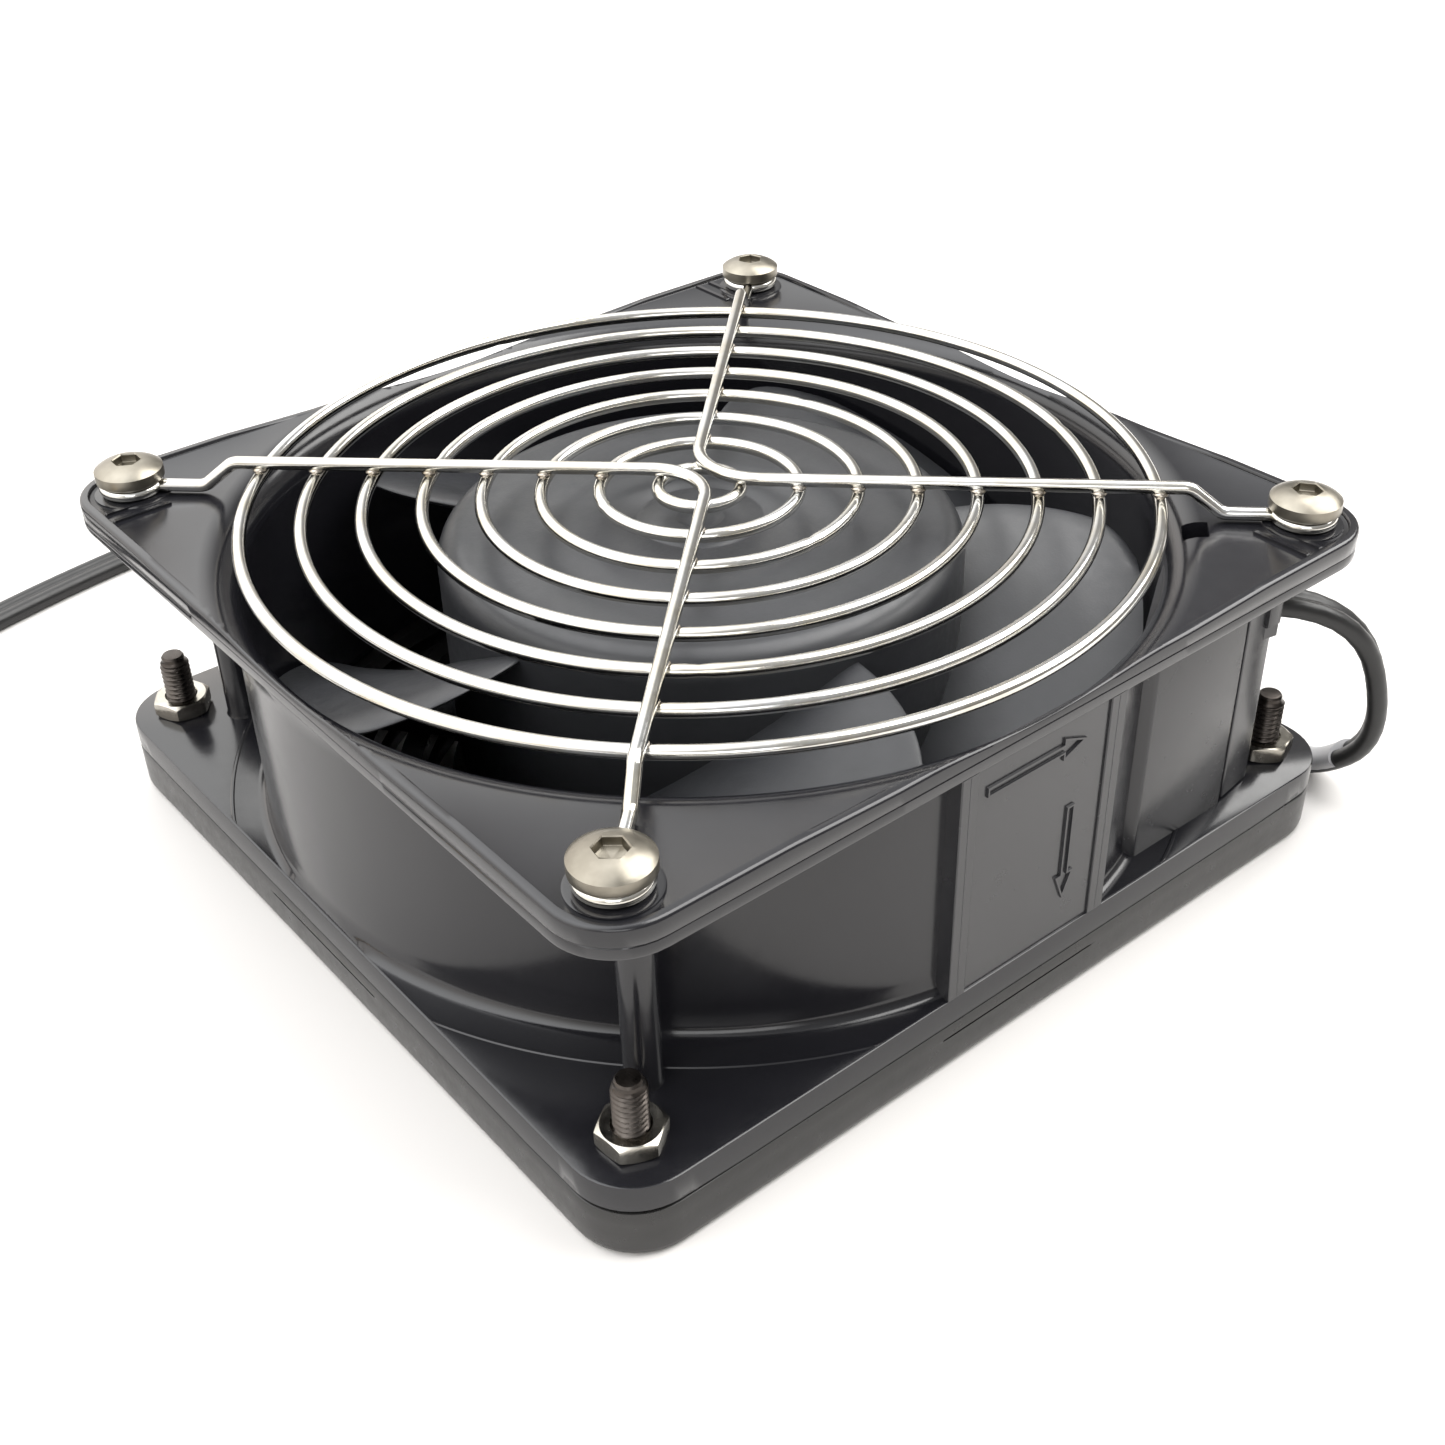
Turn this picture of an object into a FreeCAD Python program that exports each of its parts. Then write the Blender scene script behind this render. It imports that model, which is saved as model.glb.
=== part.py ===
import FreeCAD, Part
import math
import os

import Sketcher

# A 120 mm mains case fan standing on a clip-on grid unit, with a welded wire
# finger guard on its inlet side and a two-core lead that ends in a plug.
# The axis of the fan is +Z, the floor is z = 0, lengths are millimetres.

doc = FreeCAD.newDocument("case_fan")
sheet = doc.addObject("Spreadsheet::Sheet", "Sizes")
nodes = []
row_count = [1]


class Size:
    """A length together with the sheet formula that gives it."""

    def __init__(self, number, formula):
        self.number = number
        self.formula = formula

    def __add__(self, other):
        other = as_size(other)
        return Size(self.number + other.number, f"({self.formula} + {other.formula})")

    def __sub__(self, other):
        other = as_size(other)
        return Size(self.number - other.number, f"({self.formula} - {other.formula})")

    def __mul__(self, factor):
        return Size(self.number * factor, f"({self.formula} * ({factor!r}))")

    def __truediv__(self, factor):
        return Size(self.number / factor, f"({self.formula} / ({factor!r}))")

    def __neg__(self):
        return Size(-self.number, f"(0 - {self.formula})")


def as_size(value):
    if isinstance(value, Size):
        return value
    return Size(float(value), f"({float(value)!r})")


def row(alias, number, note):
    """One line of the sheet: a name, its number and what it is."""
    row_count[0] += 1
    line = row_count[0]
    sheet.set(f"A{line}", alias)
    sheet.set(f"B{line}", str(number))
    sheet.set(f"C{line}", note)
    sheet.setAlias(f"B{line}", alias)
    return Size(float(number), f"Sizes.{alias}")


sheet.set("A1", "name")
sheet.set("B1", "millimetres")
sheet.set("C1", "what it is")

# Housing
frame_half = row("frame_half", 59.5, "half the width of the square frame")
frame_corner = row("frame_corner", 8, "corner radius of the flanges")
frame_low = row("frame_low", 7, "underside of the housing")
frame_high = row("frame_high", 45, "top of the housing")
low_flange = row("low_flange", 3.7, "thickness of the lower flange")
high_flange = row("high_flange", 3.6, "thickness of the upper flange")
wall_radius = row("wall_radius", 59.2, "outside of the round wall")
bore_radius = row("bore_radius", 57.3, "bore that the blades turn in")
mouth_radius = row("mouth_radius", 62, "where the bell mouth starts on the flange")
mouth_round = row("mouth_round", 4.7, "rounding of the bell mouth")
hole_spacing = row("hole_spacing", 104.8, "between the corner holes")
hole_radius = row("hole_radius", 2.25, "corner holes")
line_inset = row("line_inset", 1.2, "engraved line, from the flange edge")
line_width = row("line_width", 0.45, "engraved line")
line_depth = row("line_depth", 0.3, "engraved line")
post_place = row("post_place", 46.3, "corner posts, from both mid-planes")
post_top = row("post_top", 2.6, "radius of a post at the upper flange")
post_foot = row("post_foot", 2.15, "radius of a post at the lower flange")
collar_radius = row("collar_radius", 3.1, "collar at the foot of a post")
collar_height = row("collar_height", 1.8, "collar at the foot of a post")
panel_left = row("panel_left", -13.4, "panel on the side face")
panel_right = row("panel_right", 12.4, "panel on the side face")
panel_face = row("panel_face", 59.1, "panel face, from the axis")
panel_back = row("panel_back", 57.6, "how deep the panel reaches into the wall")
panel_strip = row("panel_strip", 2.6, "raised strips at both edges of the panel")
strip_face = row("strip_face", 59.45, "face of the raised strips")
arrow_rise = row("arrow_rise", 0.3, "how far the arrows stand out")
plate_radius = row("plate_radius", 31, "motor plate")
strut_width = row("strut_width", 6.4, "struts of the motor plate")
strut_angle = row("strut_angle", -50.6, "degrees, the strut that carries the leads")
channel_width = row("channel_width", 4.4, "lead channel in that strut")
channel_floor = row("channel_floor", 8.7, "lead channel in that strut")
channel_start = row("channel_start", 19, "lead channel, from the axis")
channel_end = row("channel_end", 63.4, "lead channel, from the axis")
# Terminal chamber at the corner
column_left = row("column_left", 22, "terminal column")
column_right = row("column_right", 38.8, "terminal column")
column_face = row("column_face", 56, "face of the column, from the axis")
column_wall = row("column_wall", 1.6, "wall of the column")
column_back = row("column_back", 43.2, "where the column meets the round wall")
slot_start = row("slot_start", 59.3, "slot in the flange, from the axis")
slot_end = row("slot_end", 62.4, "slot in the flange, from the axis")
slot_width = row("slot_width", 3.8, "slot in the flange")
slot_angle = row("slot_angle", -47.3, "degrees, slot in the flange")
cover_gap = row("cover_gap", 0.4, "parting line between column and cover")
cover_right = row("cover_right", 45.6, "right side of the cover")
cover_bend = row("cover_bend", 55.1, "outer edge of the cover, from the axis")
cover_back = row("cover_back", 43.5, "back of the cover, from the axis")
cover_root = row("cover_root", 40.6, "back edge of the cover")
cover_wall = row("cover_wall", 1.4, "wall of the cover")
latch_width = row("latch_width", 3.2, "latch on the cover")
latch_rise = row("latch_rise", 1.2, "latch on the cover")
latch_low = row("latch_low", 31, "lower end of the latch")
step_low = row("step_low", 29.3, "lower end of the small step below the latch")
block_start = row("block_start", 60.2, "terminal block, from the axis")
block_end = row("block_end", 63.2, "terminal block, from the axis")
block_width = row("block_width", 4.8, "terminal block")
block_low = row("block_low", 18, "terminal block")
block_high = row("block_high", 29, "terminal block")
tab_width = row("tab_width", 1.6, "terminal tabs")
tab_thick = row("tab_thick", 0.5, "terminal tabs")
tab_high = row("tab_high", 36.5, "terminal tabs")
lead_radius = row("lead_radius", 0.75, "inner leads")
lead_pitch = row("lead_pitch", 2.2, "between the inner leads")
# Motor
tube_outer = row("tube_outer", 5.5, "bearing tube")
tube_inner = row("tube_inner", 4, "seat of the bearings")
tube_lip = row("tube_lip", 3.4, "shoulder between the bearings")
tube_low = row("tube_low", 8.2, "foot of the bearing tube")
tube_high = row("tube_high", 37, "top of the bearing tube")
tube_foot = row("tube_foot", 8, "foot flange of the bearing tube")
bearing_width = row("bearing_width", 4, "ball bearings, 3 x 8 x 4")
bearing_low = row("bearing_low", 12, "lower bearing")
race_outer = row("race_outer", 3.2, "outer ring, inside")
race_inner = row("race_inner", 2.2, "inner ring, outside")
ball_radius = row("ball_radius", 0.46, "bearing balls")
ball_circle = row("ball_circle", 2.7, "circle of the balls")
shaft_radius = row("shaft_radius", 1.5, "shaft")
shaft_low = row("shaft_low", 10.2, "lower end of the shaft")
clip_radius = row("clip_radius", 3.1, "retaining clip")
clip_thick = row("clip_thick", 0.5, "retaining clip")
washer_thick = row("washer_thick", 0.4, "thrust washer")
cap_radius = row("cap_radius", 20, "blank disc under the motor plate")
cap_thick = row("cap_thick", 0.4, "blank disc under the motor plate")
stack_low = row("stack_low", 16, "stator stack")
stack_high = row("stack_high", 30, "stator stack")
stator_radius = row("stator_radius", 25.6, "stator")
shoe_start = row("shoe_start", 23, "pole shoes")
shoe_span = row("shoe_span", 74, "degrees, pole shoes")
yoke_radius = row("yoke_radius", 10.5, "stator yoke")
pole_width = row("pole_width", 8, "poles")
bobbin_wall = row("bobbin_wall", 0.8, "coil bobbins")
coil_start = row("coil_start", 11.5, "coils, from the axis")
coil_end = row("coil_end", 21.2, "coils, from the axis")
coil_build = row("coil_build", 3.4, "thickness of the winding")
shade_width = row("shade_width", 1.2, "shading bars in the pole shoes")
shade_side = row("shade_side", 8, "shading bars, from the middle of a pole")
shade_start = row("shade_start", 21.9, "shading bars, from the axis along the pole")
shade_end = row("shade_end", 24, "shading bars, from the axis along the pole")
rotor_radius = row("rotor_radius", 26, "rotor stack, inside")
rotor_low = row("rotor_low", 15, "rotor stack")
rotor_high = row("rotor_high", 31, "rotor stack")
ring_thick = row("ring_thick", 1.8, "end rings of the rotor cage")
bar_radius = row("bar_radius", 1, "bars of the rotor cage")
bar_circle = row("bar_circle", 29, "circle of the bars")
# Impeller
hub_radius = row("hub_radius", 33.5, "hub")
hub_wall = row("hub_wall", 1.6, "hub")
hub_low = row("hub_low", 12, "open edge of the hub")
hub_high = row("hub_high", 43.4, "face of the hub")
hub_flat = row("hub_flat", 30, "flat part of the hub face")
hub_round = row("hub_round", 3.5, "edge rounding of the hub")
boss_radius = row("boss_radius", 6, "boss inside the hub")
boss_low = row("boss_low", 37.7, "boss inside the hub")
bush_radius = row("bush_radius", 3.2, "brass bushing in the boss")
bush_low = row("bush_low", 37.5, "brass bushing in the boss")
blade_root = row("blade_root", 32.6, "blade roots, inside the hub wall")
blade_tip = row("blade_tip", 56.2, "blade tips")
blade_high = row("blade_high", 40, "leading edge")
blade_low = row("blade_low", 17, "trailing edge")
blade_thick = row("blade_thick", 2, "blade thickness, along the axis")
blade_span = row("blade_span", 60, "degrees from leading to trailing edge")
blade_start = row("blade_start", -24, "degrees, root of the first leading edge")
blade_sweep = row("blade_sweep", 8.5, "degrees the leading edge falls back at the tip")
# Wire guard
wire_radius = row("wire_radius", 0.85, "guard wire")
ring_first = row("ring_first", 5.2, "innermost guard ring")
ring_pitch = row("ring_pitch", 7.35, "between the guard rings")
ring_height = row("ring_height", 47.5, "plane of the rings")
eye_radius = row("eye_radius", 3.2, "eyes at the corners")
jog_high = row("jog_high", 60.1, "where a leg starts down, from the axis")
jog_low = row("jog_low", 64.3, "where a leg lies on the flange, from the axis")
jog_round = row("jog_round", 2.4, "bends of the legs")
vertex_left = row("vertex_left", 2.1, "where the legs of the left guard wire would meet")
bend_left = row("bend_left", 7.2, "bend of the left guard wire")
vertex_right = row("vertex_right", -1.2, "where the legs of the right guard wire would meet")
bend_right = row("bend_right", 8.4, "bend of the right guard wire")
# Screws
thread_radius = row("thread_radius", 1.95, "M4 threads of the mounting bolts")
screw_radius = row("screw_radius", 1.75, "M4 threads of the guard screws")
head_radius = row("head_radius", 4.3, "button heads on the guard")
head_height = row("head_height", 2.8, "button heads on the guard")
socket_radius = row("socket_radius", 1.45, "hexagon sockets, across corners")
socket_depth = row("socket_depth", 1.5, "hexagon sockets")
screw_end = row("screw_end", 37.9, "lower end of the guard screws")
nut_radius = row("nut_radius", 4.04, "M4 nuts, across corners")
nut_height = row("nut_height", 2.2, "nuts below the upper flange")
thin_nut = row("thin_nut", 2.4, "nuts on the lower flange")
bolt_tip = row("bolt_tip", 19.7, "tips of the mounting bolts")
stud_gap = row("stud_gap", 0.5, "from the lower nuts to the free threads above them")
bolt_head = row("bolt_head", 3.8, "heads of the mounting bolts")
bolt_seat = row("bolt_seat", 4.4, "plane under the guard plate")
bolt_socket = row("bolt_socket", 1.2, "depth of the sockets in the bolts")
# Guard unit below the fan
tray_high = row("tray_high", 6.8, "top of the clip-on tray")
tray_wall = row("tray_wall", 1.8, "wall of the tray")
tray_floor = row("tray_floor", 2.2, "floor of the tray")
grid_bar = row("grid_bar", 3.2, "ring bars of the grids")
grid_first = row("grid_first", 10.7, "innermost ring bar")
grid_pitch = row("grid_pitch", 7.6, "between the ring bars")
grid_spoke = row("grid_spoke", 2, "straight bars of the grids")
grid_open = row("grid_open", 56, "edge of the round opening")
plate_play = row("plate_play", 0.3, "between tray and guard plate")
snap_south = row("snap_south", -1.1, "middle of the snap on the panel side")
snap_west = row("snap_west", 2, "middle of the snap on the left side")
snap_width = row("snap_width", 24.6, "snaps")
snap_low = row("snap_low", 4.9, "lower edge of the snaps")
# Lead
lead_out = row("lead_out", 34.5, "height of the lead where it leaves the cover")
lead_side = row("lead_side", 49.5, "the lead where it leaves the cover, from the axis")
cord_width = row("cord_width", 4.4, "round section as heavy as the flat twin lead")
grommet_radius = row("grommet_radius", 3.1, "strain relief")
grommet_long = row("grommet_long", 1.8, "strain relief outside the cover")
sleeve_radius = row("sleeve_radius", 2.9, "sleeve on the lead")
coil_x = row("coil_x", -103.5, "middle of the coiled lead")
coil_y = row("coil_y", 133.5, "middle of the coiled lead")
coil_inner = row("coil_inner", 27.5, "inside of the coiled lead")
coil_outer = row("coil_outer", 38.2, "outside of the coiled lead")
coil_low = row("coil_low", 0.6, "coiled lead")
coil_high = row("coil_high", 12.2, "coiled lead")
tie_thick = row("tie_thick", 0.6, "tie around the coiled lead")
tie_width = row("tie_width", 5, "tie around the coiled lead")
plug_middle = row("plug_middle", -131, "middle of the plug")
plug_rear = row("plug_rear", 69, "rear of the plug")
plug_long = row("plug_long", 25, "plug")
plug_wide = row("plug_wide", 22, "plug")
plug_slim = row("plug_slim", 14, "rear end of the plug")
plug_high = row("plug_high", 13, "plug")
pin_long = row("pin_long", 17.5, "plug blades")
pin_wide = row("pin_wide", 6.3, "plug blades")
pin_thick = row("pin_thick", 1.5, "plug blades")
pin_pitch = row("pin_pitch", 12.7, "between the plug blades")
doc.recompute()

MARGIN = as_size(2)
CORNERS = [(-1, -1), (1, -1), (1, 1), (-1, 1)]
RING_COUNT = 8
GRID_RINGS = 6
GRID_SPOKES = 12
BLADE_COUNT = 5
POLE_COUNT = 4
BAR_COUNT = 16
BALL_COUNT = 7


def keep(obj, label):
    """Names an object as one of the pieces of the fan."""
    obj.Label = label
    nodes.append(obj)
    return obj


def bind(obj, name, size):
    obj.setExpression(name, as_size(size).formula)


def place(obj, x=0, y=0, z=0, turn=None):
    spot = [as_size(value) for value in (x, y, z)]
    base = FreeCAD.Vector(*[value.number for value in spot])
    rotation = FreeCAD.Rotation()
    if turn is not None:
        rotation = FreeCAD.Rotation(FreeCAD.Vector(0, 0, 1), as_size(turn).number)
    obj.Placement = FreeCAD.Placement(base, rotation)
    for axis, value in zip("xyz", spot):
        obj.setExpression(f"Placement.Base.{axis}", value.formula)


def polar(radius, angle, side=0):
    """The point at a radius and an angle in degrees, side steps to the left of it."""
    radius, angle, side = as_size(radius), as_size(angle), as_size(side)
    c, s = math.cos(math.radians(angle.number)), math.sin(math.radians(angle.number))
    cos_text, sin_text = f"cos({angle.formula})", f"sin({angle.formula})"
    x = f"({radius.formula} * {cos_text} - {side.formula} * {sin_text})"
    y = f"({radius.formula} * {sin_text} + {side.formula} * {cos_text})"
    return (
        Size(radius.number * c - side.number * s, x),
        Size(radius.number * s + side.number * c, y),
    )


def box(name, long, wide, high, x=0, y=0, z=0, turn=None):
    obj = doc.addObject("Part::Box", name)
    bind(obj, "Length", long)
    bind(obj, "Width", wide)
    bind(obj, "Height", high)
    place(obj, x, y, z, turn)
    return obj


def span(name, x, y, z):
    """A box between pairs of planes."""
    low = [as_size(pair[0]) for pair in (x, y, z)]
    high = [as_size(pair[1]) for pair in (x, y, z)]
    return box(name, *[b - a for a, b in zip(low, high)], *low)


def bar(name, start, end, wide, low, high, angle, side=0):
    """A straight bar that points away from the axis."""
    start, low, high = as_size(start), as_size(low), as_size(high)
    x, y = polar(start, angle, as_size(side) - as_size(wide) / 2)
    return box(name, as_size(end) - start, wide, high - low, x, y, low, angle)


def cylinder(name, radius, low, high, x=0, y=0):
    obj = doc.addObject("Part::Cylinder", name)
    bind(obj, "Radius", radius)
    bind(obj, "Height", as_size(high) - low)
    place(obj, x, y, low)
    return obj


def cut(name, base, tool):
    obj = doc.addObject("Part::Cut", name)
    obj.Base = base
    obj.Tool = tool
    return obj


def common(name, base, tool):
    obj = doc.addObject("Part::Common", name)
    obj.Base = base
    obj.Tool = tool
    return obj


def fuse(name, shapes, refine=True):
    obj = doc.addObject("Part::MultiFuse", name)
    obj.Shapes = shapes
    obj.Refine = refine
    return obj


def group(name, shapes):
    """Equal pieces that stay separate solids."""
    obj = doc.addObject("Part::Compound", name)
    obj.Links = shapes
    return obj


def tube(name, outer, inner, low, high, x=0, y=0):
    low, high = as_size(low), as_size(high)
    body = cylinder(name + "_outer", outer, low, high, x, y)
    hole = cylinder(name + "_inner", inner, low - MARGIN, high + MARGIN, x, y)
    return cut(name, body, hole)


def hexagon(name, radius, low, high, x=0, y=0):
    obj = doc.addObject("Part::Prism", name)
    obj.Polygon = 6
    bind(obj, "Circumradius", radius)
    bind(obj, "Height", as_size(high) - low)
    place(obj, x, y, low)
    return obj


def torus(name, radius, wire, z, x=0, y=0):
    obj = doc.addObject("Part::Torus", name)
    bind(obj, "Radius1", radius)
    bind(obj, "Radius2", wire)
    place(obj, x, y, z)
    return obj


def rounded_plate(name, half, corner, low, high):
    """A square plate around the axis with rounded corners."""
    half, corner = as_size(half), as_size(corner)
    inner = half - corner
    shapes = [
        span(name + "_wide", (-half, half), (-inner, inner), (low, high)),
        span(name + "_deep", (-inner, inner), (-half, half), (low, high)),
    ]
    for number, (sx, sy) in enumerate(CORNERS):
        x, y = inner * sx, inner * sy
        shapes.append(cylinder(f"{name}_corner_{number}", corner, low, high, x, y))
    return fuse(name, shapes)


def profile_sketch(body, role, points, name):
    """A closed outline with every corner held by sheet formulas."""
    sketch = body.newObject("Sketcher::SketchObject", name)
    planes = {item.Role: item for item in body.Origin.OriginFeatures}
    sketch.AttachmentSupport = [(planes[role], "")]
    sketch.MapMode = "FlatFace"
    points = [(as_size(a), as_size(b)) for a, b in points]
    spots = [FreeCAD.Vector(a.number, b.number, 0) for a, b in points]
    count = len(points)
    for i in range(count):
        sketch.addGeometry(Part.LineSegment(spots[i], spots[(i + 1) % count]), False)
    for i in range(count):
        sketch.addConstraint(Sketcher.Constraint("Coincident", i, 2, (i + 1) % count, 1))
    for i, pair in enumerate(points):
        for kind, axis, size in (("DistanceX", -2, pair[0]), ("DistanceY", -1, pair[1])):
            if size.number == 0:
                sketch.addConstraint(Sketcher.Constraint("PointOnObject", i, 1, axis))
                continue
            held = Sketcher.Constraint(kind, -1, 1, i, 1, size.number)
            index = sketch.addConstraint(held)
            sketch.setExpression(f"Constraints[{index}]", size.formula)
    return sketch


def turned(name, points):
    """A body turned about the fan axis from an outline of radius and height."""
    body = doc.addObject("PartDesign::Body", name)
    sketch = profile_sketch(body, "XZ_Plane", points, name + "_outline")
    doc.recompute()
    turn = body.newObject("PartDesign::Revolution", name + "_turn")
    turn.Profile = sketch
    turn.ReferenceAxis = (sketch, ["V_Axis"])
    turn.Angle = 360
    body.Tip = turn
    return body


def prism(name, points, low, high):
    """A body drawn in plan and raised between two heights."""
    low, high = as_size(low), as_size(high)
    body = doc.addObject("PartDesign::Body", name)
    sketch = profile_sketch(body, "XY_Plane", points, name + "_outline")
    doc.recompute()
    pad = body.newObject("PartDesign::Pad", name + "_pad")
    pad.Profile = sketch
    bind(pad, "Length", high - low)
    body.Tip = pad
    place(body, 0, 0, low)
    return body


def vector(*values):
    return FreeCAD.Vector(*[as_size(value).number for value in values])


def route(points, bends):
    """Straight runs joined by tangent arcs; a bend is a radius for each inner point."""
    edges = []
    last = points[0]
    radii = []
    for i in range(1, len(points) - 1):
        into = (points[i] - points[i - 1]).normalize()
        away = (points[i + 1] - points[i]).normalize()
        half = into.getAngle(away) / 2
        radius = bends[i - 1]
        if radius is None:
            shorter = min(
                points[i].distanceToPoint(points[i - 1]),
                points[i].distanceToPoint(points[i + 1]),
            )
            radius = RUN_SHARE * shorter / math.tan(half)
        radii.append(radius)
        back = radius * math.tan(half)
        start = points[i] - into * back
        end = points[i] + away * back
        inward = (away - into).normalize()
        middle = points[i] + inward * (radius / math.cos(half) - radius)
        edges.append(Part.makeLine(last, start))
        edges.append(Part.Arc(start, middle, end).toShape())
        last = end
    edges.append(Part.makeLine(last, points[-1]))
    return Part.Wire(edges), radii


RUN_SHARE = 0.45


def sweep(path, radius):
    """A round wire along a path."""
    edge = path.Edges[0]
    start = edge.valueAt(edge.FirstParameter)
    heading = edge.tangentAt(edge.FirstParameter)
    ring = Part.Wire(Part.makeCircle(radius, start, heading))
    return path.makePipeShell([ring], True, True)


def drawn(name, shape):
    """A piece whose shape is worked out from the sheet by the lines above it."""
    obj = doc.addObject("Part::Feature", name)
    obj.Shape = shape
    obj.Placement = FreeCAD.Placement()
    return obj


flange_top = frame_low + low_flange
flange_under = frame_high - high_flange
hole = hole_spacing / 2

# ---------------------------------------------------------------- housing
lower_plate = rounded_plate("lower_plate", frame_half, frame_corner, frame_low, flange_top)
upper_plate = rounded_plate("upper_plate", frame_half, frame_corner, flange_under, frame_high)
wall = cylinder("wall", wall_radius, frame_low, frame_high)
panel = span("panel", (panel_left, panel_right), (-panel_face, -panel_back), (flange_top, flange_under))
strips = [
    span(
        f"strip_{number}",
        (edge, edge + panel_strip),
        (-strip_face, -panel_back),
        (flange_top, flange_under),
    )
    for number, edge in enumerate((panel_left, panel_right - panel_strip))
]
column = prism(
    "column",
    [
        (column_left, -column_face),
        (column_right, -column_face),
        (column_right, -column_back),
    ],
    frame_low,
    frame_high - mouth_round,
)
posts = []
for number, (sx, sy) in enumerate(CORNERS):
    if (sx, sy) == (1, -1):
        continue
    post = doc.addObject("Part::Cone", f"post_{number}")
    bind(post, "Radius1", post_foot)
    bind(post, "Radius2", post_top)
    bind(post, "Height", flange_under - flange_top)
    place(post, post_place * sx, post_place * sy, flange_top)
    posts.append(post)
    collar_top = flange_top + collar_height
    spot = (post_place * sx, post_place * sy)
    posts.append(cylinder(f"collar_{number}", collar_radius, flange_top, collar_top, *spot))


def arrow(name, length, half_shaft, half_head, head, line):
    """Outline arrow along +X with its tail at the origin: outside and inside corners."""
    outside = [
        (0, -half_shaft),
        (length - head, -half_shaft),
        (length - head, -half_head),
        (length, 0),
        (length - head, half_head),
        (length - head, half_shaft),
        (0, half_shaft),
    ]
    slope = half_head / head
    reach = length - line * math.hypot(1, slope) / slope
    shoulder = length - head + line
    inner_head = (reach - shoulder) * slope
    inside = [
        (line, line - half_shaft),
        (shoulder, line - half_shaft),
        (shoulder, -inner_head),
        (reach, 0),
        (shoulder, inner_head),
        (shoulder, half_shaft - line),
        (line, half_shaft - line),
    ]
    face = Part.Face(Part.makePolygon([FreeCAD.Vector(x, y, 0) for x, y in outside + outside[:1]]))
    core = Part.Face(Part.makePolygon([FreeCAD.Vector(x, y, 0) for x, y in inside + inside[:1]]))
    return face.cut(core).extrude(FreeCAD.Vector(0, 0, 1))


ARROW_LINE = 0.35
ARROW_RIGHT = dict(length=15, half_shaft=0.45, half_head=1.2, head=3.2)
ARROW_DOWN = dict(length=13, half_shaft=0.45, half_head=1.2, head=3.2)
ARROW_RIGHT_TAIL = (-9.2, 38.6)
ARROW_DOWN_TAIL = (4.7, 29.2)
STAND = FreeCAD.Rotation(FreeCAD.Vector(1, 0, 0), 90)
DOWN = FreeCAD.Rotation(FreeCAD.Vector(0, 1, 0), 90)
arrows = []
for name, shape_sizes, tail, turn in (
    ("arrow_right", ARROW_RIGHT, ARROW_RIGHT_TAIL, STAND),
    ("arrow_down", ARROW_DOWN, ARROW_DOWN_TAIL, DOWN * STAND),
):
    sign = drawn(name, arrow(name, line=ARROW_LINE, **shape_sizes))
    face = -panel_face - arrow_rise + 1
    sign.Placement = FreeCAD.Placement(vector(tail[0], face, tail[1]), turn)
    arrows.append(sign)

housing_skin = fuse(
    "housing_skin",
    [lower_plate, upper_plate, wall, panel, column] + strips + posts + arrows,
)

mouth_disc = cylinder("mouth_disc", mouth_radius, frame_high - mouth_round, frame_high + MARGIN)
mouth_ring = torus("mouth_ring", mouth_radius, mouth_round, frame_high - mouth_round)
mouth = cut("mouth", mouth_disc, mouth_ring)
bore = cylinder("bore", bore_radius, frame_low - MARGIN, frame_high + MARGIN)
hole_planes = (frame_low - MARGIN, frame_high + MARGIN)
flange_holes = [
    cylinder(f"flange_hole_{n}", hole_radius, *hole_planes, hole * sx, hole * sy)
    for n, (sx, sy) in enumerate(CORNERS)
]
line_half = frame_half - line_inset
line_corner = frame_corner - line_inset
engraving = cut(
    "engraving",
    rounded_plate("line_outer", line_half, line_corner, frame_high - line_depth, frame_high + MARGIN),
    rounded_plate(
        "line_inner",
        line_half - line_width,
        line_corner - line_width,
        frame_high - MARGIN,
        frame_high + MARGIN * 2,
    ),
)
slot_planes = (flange_under - MARGIN, frame_high + MARGIN)
flange_slot = bar("flange_slot", slot_start, slot_end, slot_width, *slot_planes, slot_angle)
chamber_block = prism(
    "chamber_block",
    [
        (column_left + column_wall * 4, -column_face + column_wall),
        (column_right + MARGIN, -column_face + column_wall),
        (column_right + MARGIN, -column_back),
        (column_right - MARGIN * 2, -column_back),
    ],
    flange_top,
    flange_under,
)
chamber = cut("chamber", chamber_block, cylinder("chamber_wall", wall_radius, frame_low, frame_high))
housing_hollow = fuse(
    "housing_hollow",
    [bore, mouth, engraving, flange_slot, chamber] + flange_holes,
    False,
)
shell = cut("housing_shell", housing_skin, housing_hollow)

motor_plate = cylinder("motor_plate", plate_radius, frame_low, flange_top)
struts = []
for number in range(POLE_COUNT):
    angle = strut_angle + 90 * number
    start, end = plate_radius - MARGIN, bore_radius + 1
    struts.append(bar(f"strut_{number}", start, end, strut_width, frame_low, flange_top, angle))
channel_planes = (channel_floor, flange_top + lead_pitch)
channel = bar("channel", channel_start, channel_end, channel_width, *channel_planes, strut_angle)
plate_hole = cylinder("plate_hole", tube_foot, tube_low, flange_top + MARGIN)
plate_bore = cylinder("plate_bore", tube_inner, frame_low - MARGIN, tube_low + MARGIN)
cap_seat = cylinder("cap_seat", cap_radius, frame_low - MARGIN, frame_low + cap_thick)
fixed = fuse("housing_solid", [shell, motor_plate] + struts)
plate_cuts = fuse("plate_cuts", [channel, plate_hole, plate_bore, cap_seat], False)
keep(cut("fan_housing", fixed, plate_cuts), "fan_housing")

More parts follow.
